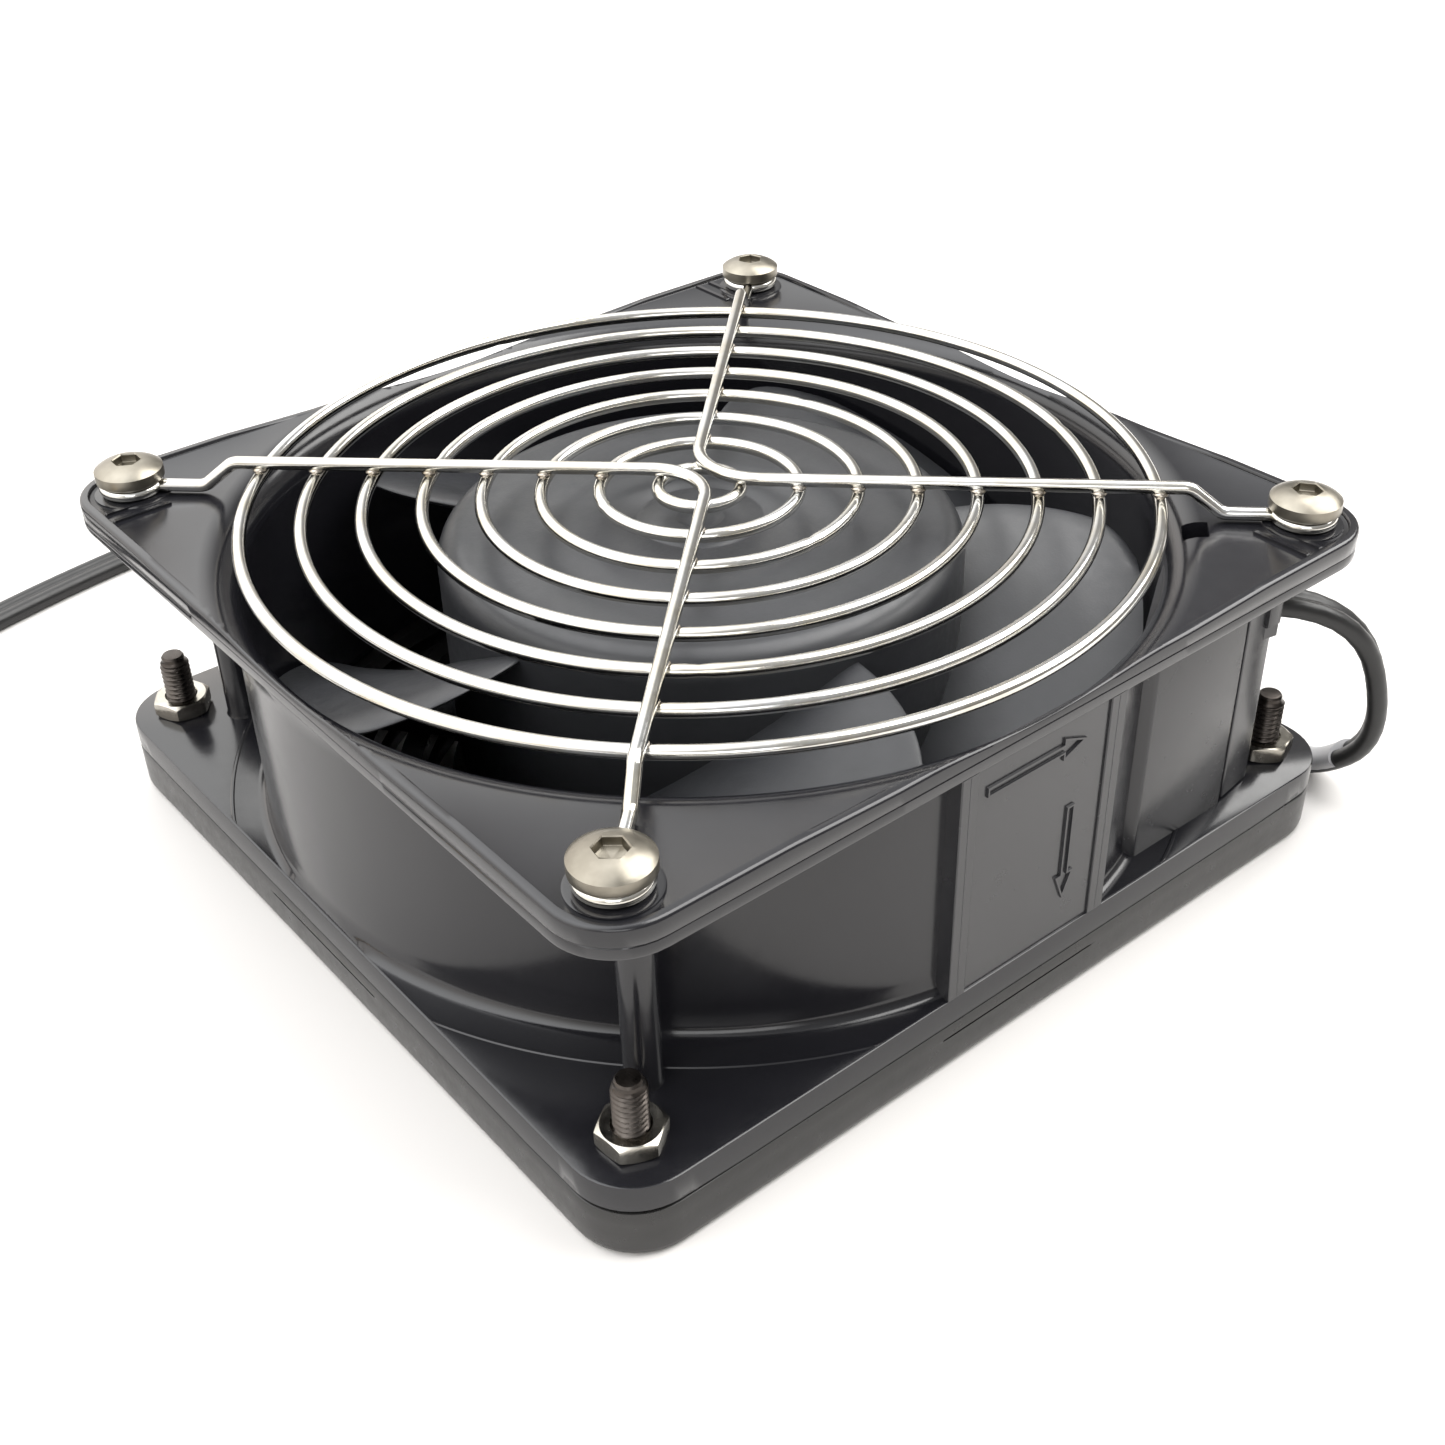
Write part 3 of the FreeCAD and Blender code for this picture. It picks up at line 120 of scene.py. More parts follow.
def moved(part, x=0, y=0, z=0, turn=0):
    """The part turned about the vertical axis by an angle in degrees, then moved."""
    c, s = math.cos(math.radians(turn)), math.sin(math.radians(turn))
    verts = [(x + p[0] * c - p[1] * s, y + p[0] * s + p[1] * c, z + p[2]) for p in part[0]]
    return verts, part[1]


def lathe(profile, steps):
    """A turned solid from (radius, height) pairs; a radius of 0 closes on the axis."""
    return loft([[(x, y, z) for x, y in circle(radius, steps)] for radius, z in profile])


def arc(cx, cz, radius, start, end, steps):
    """Points of an arc in a profile, angles in degrees."""
    points = []
    for k in range(steps + 1):
        angle = math.radians(start + (end - start) * k / steps)
        points.append((cx + radius * math.cos(angle), cz + radius * math.sin(angle)))
    return points


def box(x0, x1, y0, y1, z0, z1):
    verts = [(x, y, z) for z in (z0, z1) for y in (y0, y1) for x in (x0, x1)]
    faces = [(0, 2, 3, 1), (4, 5, 7, 6), (0, 1, 5, 4), (2, 6, 7, 3), (0, 4, 6, 2), (1, 3, 7, 5)]
    return verts, faces


def slab(outline, low, high, edge):
    """A plan outline raised between two heights with chamfered ends."""
    count = len(outline)
    middle = (sum(p[0] for p in outline) / count, sum(p[1] for p in outline) / count)
    rings = []
    for inset, z in ((edge, low), (0, low + edge), (0, high - edge), (edge, high)):
        ring = []
        for x, y in outline:
            away = Vector((x - middle[0], y - middle[1]))
            scale = max(away.length - inset, 0) / max(away.length, 1e-6)
            ring.append((middle[0] + away.x * scale, middle[1] + away.y * scale, z))
        rings.append(ring)
    return loft(rings)


def rounded(outline, radius, steps):
    """The same outline with its corners rounded."""
    points = []
    count = len(outline)
    for i in range(count):
        here = Vector(outline[i])
        back = Vector(outline[i - 1]) - here
        ahead = Vector(outline[(i + 1) % count]) - here
        reach = min(radius, back.length * 0.45, ahead.length * 0.45)
        start, end = here + back.normalized() * reach, here + ahead.normalized() * reach
        for k in range(steps + 1):
            t = k / steps
            point = start * (1 - t) ** 2 + here * 2 * t * (1 - t) + end * t**2
            points.append((point.x, point.y))
    return points


def add_bevel(obj, width, segments=2):
    """Rounds the edges that are sharper than BEVEL_ANGLE; the width is in millimetres."""
    bevel = obj.modifiers.new("bevel", "BEVEL")
    bevel.width = width * MM
    bevel.segments = segments
    bevel.limit_method = "ANGLE"
    bevel.angle_limit = math.radians(BEVEL_ANGLE)


def sweep(points, section, normals=None):
    """A section (side, lift) carried along points; normals are the side directions."""
    rings = []
    side = None
    for i, point in enumerate(points):
        ahead = points[min(i + 1, len(points) - 1)] - points[max(i - 1, 0)]
        tangent = ahead.normalized()
        if normals is not None:
            side = normals[i]
        elif side is None:
            side = tangent.orthogonal()
        side = (side - tangent * side.dot(tangent)).normalized()
        lift = tangent.cross(side)
        rings.append([tuple(point + side * a + lift * b) for a, b in section])
    return loft(rings)


def circle(radius, steps):
    return [
        (radius * math.cos(2 * math.pi * k / steps), radius * math.sin(2 * math.pi * k / steps))
        for k in range(steps)
    ]


def hoop(x, y, radius, z, section, steps, joint_at=None):
    """A closed hoop round (x, y), a little thinner at the step where its ends are welded."""
    rings = []
    for i in range(steps):
        angle = 2 * math.pi * i / steps
        c, s = math.cos(angle), math.sin(angle)
        slim = JOINT_SLIM if i == joint_at else 1.0
        rings.append([
            (x + (radius + a * slim) * c, y + (radius + a * slim) * s, z + b * slim) for a, b in section
        ])
    return loft(rings, True)


# ---------------------------------------------------------------- materials
def node_tree(name):
    material = bpy.data.materials.new(name)
    material.use_nodes = True
    tree = material.node_tree
    shader = tree.nodes["Principled BSDF"]
    coords = tree.nodes.new("ShaderNodeTexCoord")
    return material, tree, shader, coords.outputs["Object"]


def noise(tree, coords, scale, detail, rough, stretch=None):
    texture = tree.nodes.new("ShaderNodeTexNoise")
    texture.inputs["Scale"].default_value = scale
    texture.inputs["Detail"].default_value = detail
    texture.inputs["Roughness"].default_value = rough
    if stretch:
        mapping = tree.nodes.new("ShaderNodeMapping")
        mapping.inputs["Scale"].default_value = stretch
        tree.links.new(coords, mapping.inputs["Vector"])
        tree.links.new(mapping.outputs["Vector"], texture.inputs["Vector"])
    else:
        tree.links.new(coords, texture.inputs["Vector"])
    return texture.outputs["Fac"]


def ramp(tree, value, stops):
    """A colour for each value, from (place, colour) stops."""
    node = tree.nodes.new("ShaderNodeValToRGB")
    elements = node.color_ramp.elements
    while len(elements) < len(stops):
        elements.new(0.5)
    for element, (place, colour) in zip(elements, stops):
        element.position = place
        element.color = (*colour, 1)
    tree.links.new(value, node.inputs["Fac"])
    return node.outputs["Color"]


def map_range(tree, value, low, high, start, end):
    """The value from start to end, carried to low to high."""
    node = tree.nodes.new("ShaderNodeMapRange")
    node.inputs["From Min"].default_value = start
    node.inputs["From Max"].default_value = end
    node.inputs["To Min"].default_value = low
    node.inputs["To Max"].default_value = high
    tree.links.new(value, node.inputs["Value"])
    return node.outputs["Result"]


def bumps(tree, shader, layers):
    """Bump nodes in a chain: each layer is (height, strength, distance in metres)."""
    last = None
    for height, strength, distance in layers:
        bump = tree.nodes.new("ShaderNodeBump")
        bump.inputs["Strength"].default_value = strength
        bump.inputs["Distance"].default_value = distance
        tree.links.new(height, bump.inputs["Height"])
        if last is not None:
            tree.links.new(last, bump.inputs["Normal"])
        last = bump.outputs["Normal"]
    tree.links.new(last, shader.inputs["Normal"])


def plastic(name, dark, light, rough, grain, depth, scratch, specular=0.5):
    """Moulded plastic: uneven gloss, fine grain of a depth in metres, flow marks and light scuffs."""
    material, tree, shader, coords = node_tree(name)
    clouds = noise(tree, coords, 45, 4, 0.6)
    fine = noise(tree, coords, grain, 2, 0.5)
    scuffs = noise(tree, coords, 420, 5, 0.75)
    tree.links.new(ramp(tree, clouds, [(0.3, dark), (0.7, light)]), shader.inputs["Base Color"])
    spread = rough * 0.12
    scuffed = map_range(tree, scuffs, rough - spread, rough + spread + scratch * 0.3, 0.35, 0.75)
    tree.links.new(scuffed, shader.inputs["Roughness"])
    shader.inputs["Specular IOR Level"].default_value = specular
    bumps(tree, shader, [(clouds, 0.05, 0.0002), (fine, 0.3, depth), (scuffs, scratch * 0.1, 0.00002)])
    return material


def metal(name, dark, light, rough, wear, grain=900, stretch=None):
    """Bare or plated metal with uneven polish and tarnish."""
    material, tree, shader, coords = node_tree(name)
    clouds = noise(tree, coords, 140, 4, 0.6)
    fine = noise(tree, coords, grain, 4, 0.6, stretch)
    shader.inputs["Metallic"].default_value = 1.0
    tree.links.new(ramp(tree, clouds, [(0.35, dark), (0.65, light)]), shader.inputs["Base Color"])
    worn = map_range(tree, fine, max(rough - wear, 0.02), rough + wear, 0.3, 0.7)
    tree.links.new(worn, shader.inputs["Roughness"])
    bumps(tree, shader, [(clouds, 0.06, 0.0002), (fine, 0.2, 0.00001)])
    return material


# name, dark and light colour, roughness, grain, grain depth in metres, scuffing, and the specular level
PLASTICS = {
    "housing": ("housing_black", (0.007, 0.007, 0.009), (0.011, 0.011, 0.013), 0.17, 2400, 7e-6, 0.10),
    # the next row is the housing's black made lighter and rougher for the label panel, arrows, terminal
    # column and lid: a painted sheen of floor light on these side faces
    "wall": ("side_black_painted_sheen", (0.019, 0.019, 0.021), (0.024, 0.024, 0.026), 0.24, 2400, 6e-6, 0.08),
    "tray": ("tray_black", (0.009, 0.009, 0.009), (0.015, 0.0145, 0.014), 0.30, 1800, 2e-5, 0.25),
    "impeller": ("impeller_grey", (0.019, 0.020, 0.022), (0.030, 0.031, 0.035), 0.42, 3200, 4e-5, 0.10),
    "cord": ("cord_black", (0.008, 0.008, 0.008), (0.013, 0.013, 0.013), 0.36, 1500, 3e-5, 0.2, 0.4),
    "sleeve": ("sleeve_milk", (0.20, 0.20, 0.205), (0.30, 0.30, 0.31), 0.4, 1500, 3e-5, 0.2),
    "plug": ("plug_black", (0.012, 0.012, 0.012), (0.022, 0.022, 0.022), 0.45, 1800, 4e-5, 0.3),
    "tie": ("tie_black", (0.02, 0.02, 0.02), (0.035, 0.035, 0.035), 0.5, 1200, 5e-5, 0.3),
    "insulation": ("insulation_cream", (0.55, 0.50, 0.38), (0.68, 0.63, 0.50), 0.5, 1500, 4e-5, 0.2),
}
# name, dark and light colour, roughness, wear, and for drawn or stacked metal the grain and its stretch
METALS = {
    "chrome": ("guard_chrome", (0.57, 0.54, 0.47), (0.66, 0.66, 0.65), 0.14, 0.05),
    "weld": ("guard_weld", (0.30, 0.26, 0.21), (0.55, 0.51, 0.46), 0.25, 0.1),
    "nickel": ("screw_nickel", (0.185, 0.168, 0.137), (0.275, 0.255, 0.212), 0.33, 0.05),
    "nut": ("nut_nickel", (0.30, 0.28, 0.24), (0.42, 0.40, 0.36), 0.20, 0.08),
    "oxide": ("bolt_oxide", (0.045, 0.039, 0.035), (0.085, 0.075, 0.068), 0.34, 0.10),
    "brass": ("contact_brass", (0.62, 0.45, 0.20), (0.80, 0.62, 0.32), 0.25, 0.1),
    "steel": ("ground_steel", (0.42, 0.42, 0.43), (0.60, 0.60, 0.61), 0.25, 0.1, 900, (1, 1, 12)),
    "core": ("core_sheets", (0.20, 0.20, 0.21), (0.36, 0.36, 0.37), 0.4, 0.12, 700, (1, 1, 40)),
    "cast": ("cage_cast", (0.55, 0.56, 0.57), (0.70, 0.71, 0.73), 0.42, 0.12),
    "copper": ("coil_copper", (0.42, 0.15, 0.06), (0.66, 0.28, 0.12), 0.3, 0.1, 700, (1, 1, 30)),
}
MAT = {key: plastic(*row) for key, row in PLASTICS.items()}
MAT.update({key: metal(*row) for key, row in METALS.items()})
CAD_MATERIALS = {
    "bearing_tube": "brass", "shaft_bushing": "brass", "terminal_tabs": "brass",
    "bearing_outer_rings": "steel", "bearing_inner_rings": "steel", "bearing_balls": "steel",
    "shaft": "steel", "retaining_clip": "steel", "preload_washer": "steel",
    "thrust_washer": "insulation", "coil_bobbins": "insulation", "terminal_block": "insulation",
    "rotor_laminations": "core", "stator_laminations": "core", "rotor_cage": "cast", "blank_disc": "cast",
    "stator_coils": "copper", "shading_bars": "copper", "inner_leads": "cord", "guard_plate": "tray",
}
for node_name, key in CAD_MATERIALS.items():
    for material_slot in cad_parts[node_name].material_slots:
        material_slot.material = MAT[key]

# ---------------------------------------------------------------- camera
CAMERA_AT = Vector((-124.07, -159.48, 152.61)) * MM
CAMERA_AZIMUTH, CAMERA_ELEVATION, CAMERA_ROLL = -0.6714, 0.6098, -0.0278
LENS, SENSOR = 44.887, 36
camera_data = bpy.data.cameras.new("camera")
camera_data.lens = LENS
camera_data.sensor_width = SENSOR
camera_data.clip_start = 0.005
camera_data.clip_end = 20
camera = placed("camera", camera_data)
back = Vector((
    math.sin(CAMERA_AZIMUTH) * math.cos(CAMERA_ELEVATION),
    -math.cos(CAMERA_AZIMUTH) * math.cos(CAMERA_ELEVATION),
    math.sin(CAMERA_ELEVATION),
))
right = UP.cross(back).normalized()
up = back.cross(right)
roll_c, roll_s = math.cos(CAMERA_ROLL), math.sin(CAMERA_ROLL)
cam_x = right * roll_c + up * roll_s
cam_y = up * roll_c - right * roll_s
camera.rotation_mode = "QUATERNION"
camera.rotation_quaternion = Matrix((cam_x, cam_y, back)).transposed().to_quaternion()
camera.location = CAMERA_AT
bpy.context.scene.camera = camera

# ---------------------------------------------------------------- cords
CORD_WIDE, CORD_THICK, CORD_WEB = 5.4, 2.6, 0.85
FLAT, ON_EDGE = CORD_THICK / 2, CORD_WIDE / 2
COIL_X, COIL_Y = -103.5, 133.5
COIL_OUTER, COIL_INNER, COIL_LAST = 36.4, 29.4, 35.2
COIL_START, COIL_SWING, COIL_POINTS = -65, 1470, 66
# shares of the coil: the lower layer winds inwards, the lead climbs, and the upper layer winds outwards
LAYER_SHARE, UPPER_START, CLIMB_START, CLIMB_SHARE = 0.48, 0.52, 0.47, 0.07
TIE_ANGLE, TIE_THICK, TIE_SPREAD = 60, 0.6, 25
# the route: place in mm and the direction of the lead's wide side, None where it lies level
route = [
    ((47.4, -49.5, 34.5), (0.6, 0.8, 0)),
    ((58.5, -58.5, 34.5), (0.6, 0.8, 0)),
    ((64.7, -63.0, 13.0), (0.88, 0.47, 0)),
    ((65.3, -53.5, 1.6), (0.96, 0.0, -0.25)),
    ((65.8, -45.0, FLAT), (1, 0, 0)),
    ((66.5, -19.0, FLAT), None),
    ((66.0, 32.0, FLAT), None),
    ((64.5, 76.0, FLAT), None),
    ((41.0, 107.0, FLAT), None),
    ((2.0, 118.5, FLAT), None),
    ((-37.0, 116.2, FLAT), None),
    ((-72.0, 108.2, FLAT), None),
]
points = [Vector(p) for p, _ in route]
# how far the lead stands on its edge: 0 lies flat and 1 stands
stands = [0.0] * len(route)
for k in range(COIL_POINTS + 1):
    share = k / COIL_POINTS
    degrees = COIL_START - COIL_SWING * share
    lower = min(share / LAYER_SHARE, 1)
    upper = max((share - UPPER_START) / LAYER_SHARE, 0)
    radius = COIL_OUTER - (COIL_OUTER - COIL_INNER) * lower + (COIL_LAST - COIL_INNER) * upper
    climb = min(max((share - CLIMB_START) / CLIMB_SHARE, 0), 1)
    climb = climb * climb * (3 - 2 * climb)
    from_tie = (degrees - TIE_ANGLE + 180) % 360 - 180
    over_tie = TIE_THICK * math.exp(-((from_tie / TIE_SPREAD) ** 2))
    height = ON_EDGE + CORD_WIDE * climb + over_tie
    angle = math.radians(degrees)
    points.append(Vector((COIL_X + radius * math.cos(angle), COIL_Y + radius * math.sin(angle), height)))
    stands.append(1.0)
# from the coil into the plug
for p, stand in (
    ((-119.0, 96.0, 7.6), 0.4),
    ((-128.5, 88.5, 5.6), 0.0),
    ((-131.0, 77.5, 6.2), 0.0),
    ((-131.0, 66.0, 6.5), 0.0),
):
    points.append(Vector(p))
    stands.append(stand)
# the lead's line: a smooth curve led by the points
curve = bpy.data.curves.new("cord_line", "CURVE")
curve.dimensions = "3D"
curve.resolution_u = 8
spline = curve.splines.new("NURBS")
spline.points.add(len(points) - 1)
for control, p in zip(spline.points, points):
    control.co = (*(p * MM), 1)
spline.order_u = 3
spline.use_endpoint_u = True
line_object = placed("cord_line", curve)
line_mesh = bpy.data.meshes.new_from_object(line_object)
line = [v.co / MM for v in line_mesh.vertices]
bpy.data.objects.remove(line_object)

# the direction of the lead's wide side at each point, then all along the line
wides = []
for i, p in enumerate(points):
    given = route[i][1] if i < len(route) else None
    if given:
        wides.append(Vector(given))
        continue
    ahead = points[min(i + 1, len(points) - 1)] - points[i - 1]
    level = -UP.cross(ahead).normalized()
    lean = math.radians(90 * stands[i])
    wides.append(level * math.cos(lean) + UP * math.sin(lean))
cord_sides = []
per_span = (len(line) - 1) / (len(points) - 2)
for i in range(len(line)):
    place = min(max(i / per_span + 0.5, 0), len(points) - 1.001)
    low = int(place)
    cord_sides.append((wides[low].lerp(wides[low + 1], place - low)).normalized())


def twin(width, thick, web, steps=9):
    """Outline of a flat two-core lead: two round lobes and the web between them."""
    lobe = thick / 2
    centre = width / 2 - lobe
    reach = 180 - math.degrees(math.asin(web / lobe))
    outline = []
    for sign, start in ((1, -reach), (-1, 180 - reach)):
        for k in range(steps * 2):
            angle = math.radians(start + 2 * reach * k / (steps * 2 - 1))
            outline.append((sign * centre + lobe * math.cos(angle), lobe * math.sin(angle)))
    return outline


cord = piece("power_cord_flat", *sweep(line, twin(CORD_WIDE, CORD_THICK, CORD_WEB), cord_sides), MAT["cord"],
             node=["power_cord", "cord_tail", "cord_coil"], slot="cord_jacket", sharp=60)

# milky sleeve round the lead where it comes down to the floor
SLEEVE_TOP, SLEEVE_END, SLEEVE_SKIN = Vector((65.4, -56.0, 6.5)), Vector((65.7, -42.0, 1.5)), 0.4
near_exit = range(len(line) // 4)
sleeve_low = min(near_exit, key=lambda i: (line[i] - SLEEVE_TOP).length)
sleeve_high = min(near_exit, key=lambda i: (line[i] - SLEEVE_END).length)
sleeve_line = [p + UP * SLEEVE_SKIN for p in line[sleeve_low:sleeve_high + 1]]
sleeve_sides = cord_sides[sleeve_low:sleeve_high + 1]
sleeve_wide, sleeve_tall = CORD_WIDE / 2 + SLEEVE_SKIN, FLAT + SLEEVE_SKIN
sleeve_section = [
    (sleeve_wide * math.cos(a * math.pi / 12), sleeve_tall * math.sin(a * math.pi / 12)) for a in range(24)
]
sleeve = piece("cord_sleeve_clear", *sweep(sleeve_line, sleeve_section, sleeve_sides), MAT["sleeve"],
               node="cord_sleeve", slot="sleeve_plastic", sharp=50)

# a strap tied round the coil's turns
TIE_HALF, TIE_SKIN, TIE_CORNER = 2.5, 0.3, 2.0
tie_in, tie_out = COIL_INNER - FLAT - 0.3, COIL_OUTER - FLAT + 0.5
tie_low, tie_high = 0.35, CORD_WIDE * 2 + TIE_THICK + 0.5
tie_box = [(tie_in, tie_low), (tie_out, tie_low), (tie_out, tie_high), (tie_in, tie_high)]
c, s = math.cos(math.radians(TIE_ANGLE)), math.sin(math.radians(TIE_ANGLE))
middle_r, middle_z = (tie_in + tie_out) / 2, (tie_low + tie_high) / 2
tie_rings = []
for r, z in rounded(tie_box, TIE_CORNER, 6):
    outwards = Vector((r - middle_r, z - middle_z)).normalized()
    ring = []
    for grow, across in (
        (-TIE_SKIN, -TIE_HALF), (TIE_SKIN, -TIE_HALF), (TIE_SKIN, TIE_HALF), (-TIE_SKIN, TIE_HALF),
    ):
        reach, height = r + outwards.x * grow, z + outwards.y * grow
        ring.append((COIL_X + reach * c - across * s, COIL_Y + reach * s + across * c, height))
    tie_rings.append(ring)
tie = piece("coil_tie_strap", *loft(tie_rings, True), MAT["tie"], node="coil_tie", slot="cord_jacket")
add_bevel(tie, 0.15)

# the moulded plug
PLUG_X, PLUG_REAR, PLUG_LEVEL, PLUG_SQUARE, PLUG_STEPS = -131.0, 69.0, 6.5, 0.62, 40
# distance from the rear, half width and half height along the moulded body
plug_stations = [
    (0.0, 3.6, 3.2), (0.4, 4.4, 3.8), (2.0, 4.9, 4.1), (2.6, 4.1, 3.4), (3.6, 4.1, 3.4),
    (4.2, 5.4, 4.4), (5.2, 5.5, 4.5), (5.8, 4.6, 3.8), (6.8, 4.7, 3.9), (7.4, 6.2, 4.9),
    (9.0, 8.0, 5.5), (11.5, 9.9, 6.1), (14.0, 10.7, 6.35), (17.0, 10.9, 6.45), (20.5, 10.9, 6.45),
    (23.8, 10.9, 6.45), (24.6, 10.6, 6.2), (25.0, 10.0, 5.6),
]
plug_rings = []
for along, wide, tall in plug_stations:
    ring = []
    for k in range(PLUG_STEPS):
        angle = 2 * math.pi * k / PLUG_STEPS
        c, s = math.cos(angle), math.sin(angle)
        px = PLUG_X + wide * abs(c) ** PLUG_SQUARE * (1 if c > 0 else -1)
        pz = PLUG_LEVEL + tall * abs(s) ** PLUG_SQUARE * (1 if s > 0 else -1)
        ring.append((px, PLUG_REAR - along, pz))
    plug_rings.append(ring)
plug = piece("plug_moulded", *loft(plug_rings), MAT["plug"], node="plug_body", slot="plug_plastic", sharp=55)

# its two flat blades
BLADE_ASIDE, BLADE_HALF, BLADE_CUT = 6.35, 0.75, 0.2
blade_outline = [(24.5, 3.35), (40.8, 3.35), (42.5, 4.8), (42.5, 8.2), (40.8, 9.65), (24.5, 9.65)]
pin_parts = []
for side in (-1, 1):
    x = PLUG_X + BLADE_ASIDE * side
    rings = []
    for dx, shrink in ((-BLADE_HALF, BLADE_CUT), (-0.6, 0), (0.6, 0), (BLADE_HALF, BLADE_CUT)):
        rings.append([
            (x + dx, PLUG_REAR - along + shrink, PLUG_LEVEL + (z - PLUG_LEVEL) * (1 - shrink / 3.2))
            for along, z in rounded(blade_outline, 0.6, 2)
        ])
    pin_parts.append(loft(rings))
pins = piece("plug_blades", *join(*pin_parts), MAT["brass"], node="plug_pins", slot="brass_turned", sharp=30)

# strain relief: a moulded bush with two collars where the lead leaves the cover
RELIEF_Y, RELIEF_Z, RELIEF_STEPS = -49.5, 34.5, 28
# distance along x, half width and half height
relief_stations = [
    (43.6, 2.9, 2.4), (44.2, 4.0, 3.0), (45.0, 4.1, 3.1), (45.4, 3.4, 2.4), (46.2, 3.4, 2.4),
    (46.5, 3.9, 2.8), (47.2, 3.7, 2.6), (47.5, 3.3, 2.0),
]
relief_rings = []
for x, wide, tall in relief_stations:
    ring = []
    for k in range(RELIEF_STEPS):
        angle = 2 * math.pi * k / RELIEF_STEPS
        ring.append((x, RELIEF_Y + wide * math.cos(angle), RELIEF_Z + tall * math.sin(angle)))
    relief_rings.append(ring)
piece("lead_bush", *loft(relief_rings), MAT["cord"], node="strain_relief", slot="cord_jacket", sharp=50)

# ---------------------------------------------------------------- housing
HALF, CORNER, HOLE = 59.5, 8.0, 52.4
FRAME_LOW, FLANGE_TOP, FLANGE_UNDER, FRAME_HIGH = 7.0, 10.7, 41.4, 45.0
WALL_OUT, WALL_MIDDLE, BORE, MOUTH, MOUTH_ROUND, MOUTH_STEPS = 58.9, 26, 57.3, 62.0, 4.7, 8
# the flange lies a little lower than the rim round it, which fades out where the bell mouth nears the edge
RIM_WIDE, RIM_RISE, RIM_FADE, FLANGE_FACE = 1.2, 0.5, 6, FRAME_HIGH - 0.2
# the mould line round the upper flange's edge, and a low bead on the lower flange beside the barrel
LINE_UP, LINE_HALF, BEAD_OUT, BEAD_RISE = 1.55, 0.12, 4.6, 0.12
# the fillet between barrel and flange: distance from the barrel, and from the flange
FILLET = [(1.6, 0.0), (0.9, 0.16), (0.35, 0.6), (0.05, 1.4)]
EDGE_ROUND, EDGE_FREE = 0.35, 0.36
SEAM_TIGHT, SEAM_OPEN, SEAM_START, SEAM_SPAN = 0.04, 0.26, 43, 9
COLUMNS = 480


def outline_radius(angle, inset=0.0):
    """How far the rounded square, moved inwards by inset, is from the axis at an angle."""
    half, corner = HALF - inset, max(CORNER - inset, 0.5)
    c, s = abs(math.cos(angle)), abs(math.sin(angle))
    flat = half / max(c, s)
    inner = half - corner
    if flat * min(c, s) <= inner:
        return flat
    reach = inner * (c + s)
    return reach + math.sqrt(max(reach * reach - 2 * inner * inner + corner * corner, 0))


def seam_edge(angle):
    """The rounding where tray and fan meet: tight along the sides, open round the corners."""
    c, s = abs(math.cos(angle)), abs(math.sin(angle))
    along = outline_radius(angle) * min(c, s)
    share = min(max((along - SEAM_START) / SEAM_SPAN, 0), 1)
    return SEAM_TIGHT + SEAM_OPEN * share


def mouth_height(radius):
    """Height of the bell mouth, and of the flange's face outside it, at a radius."""
    inside = MOUTH_ROUND**2 - max(MOUTH - radius, 0) ** 2
    return FLANGE_FACE - MOUTH_ROUND + math.sqrt(max(inside, 0))


def profile_round(profile_of):
    """A closed shell from the (radius, height) section that profile_of gives at each angle."""
    rings = []
    for column in range(COLUMNS):
        angle = 2 * math.pi * (column + 0.5) / COLUMNS
        c, s = math.cos(angle), math.sin(angle)
        rings.append([(radius * c, radius * s, z) for radius, z in profile_of(angle)])
    return loft(rings, True, False)


def rim_profile(angle, edge, lip):
    """The upper flange's face and the rim round it, out to the edge."""
    rim = RIM_RISE * min(max((outline_radius(angle, RIM_WIDE + 0.3) - MOUTH) / RIM_FADE, 0), 1)
    profile = []
    least = lip
    for inset, rise in (
        (RIM_WIDE + 0.2, 0), (RIM_WIDE + 0.1, rim * 0.1), (RIM_WIDE, rim * 0.8), (RIM_WIDE - 0.1, rim),
        (0.45, rim), (0.25, rim - 0.06), (0.1, rim - 0.2), (0.0, rim - 0.45),
    ):
        radius = outline_radius(angle, inset)
        clipped = radius < least
        least = min(max(radius, least), edge)
        height = mouth_height(least) + (0 if clipped and least < edge - 0.01 else rise)
        profile.append((least, height))
    return profile


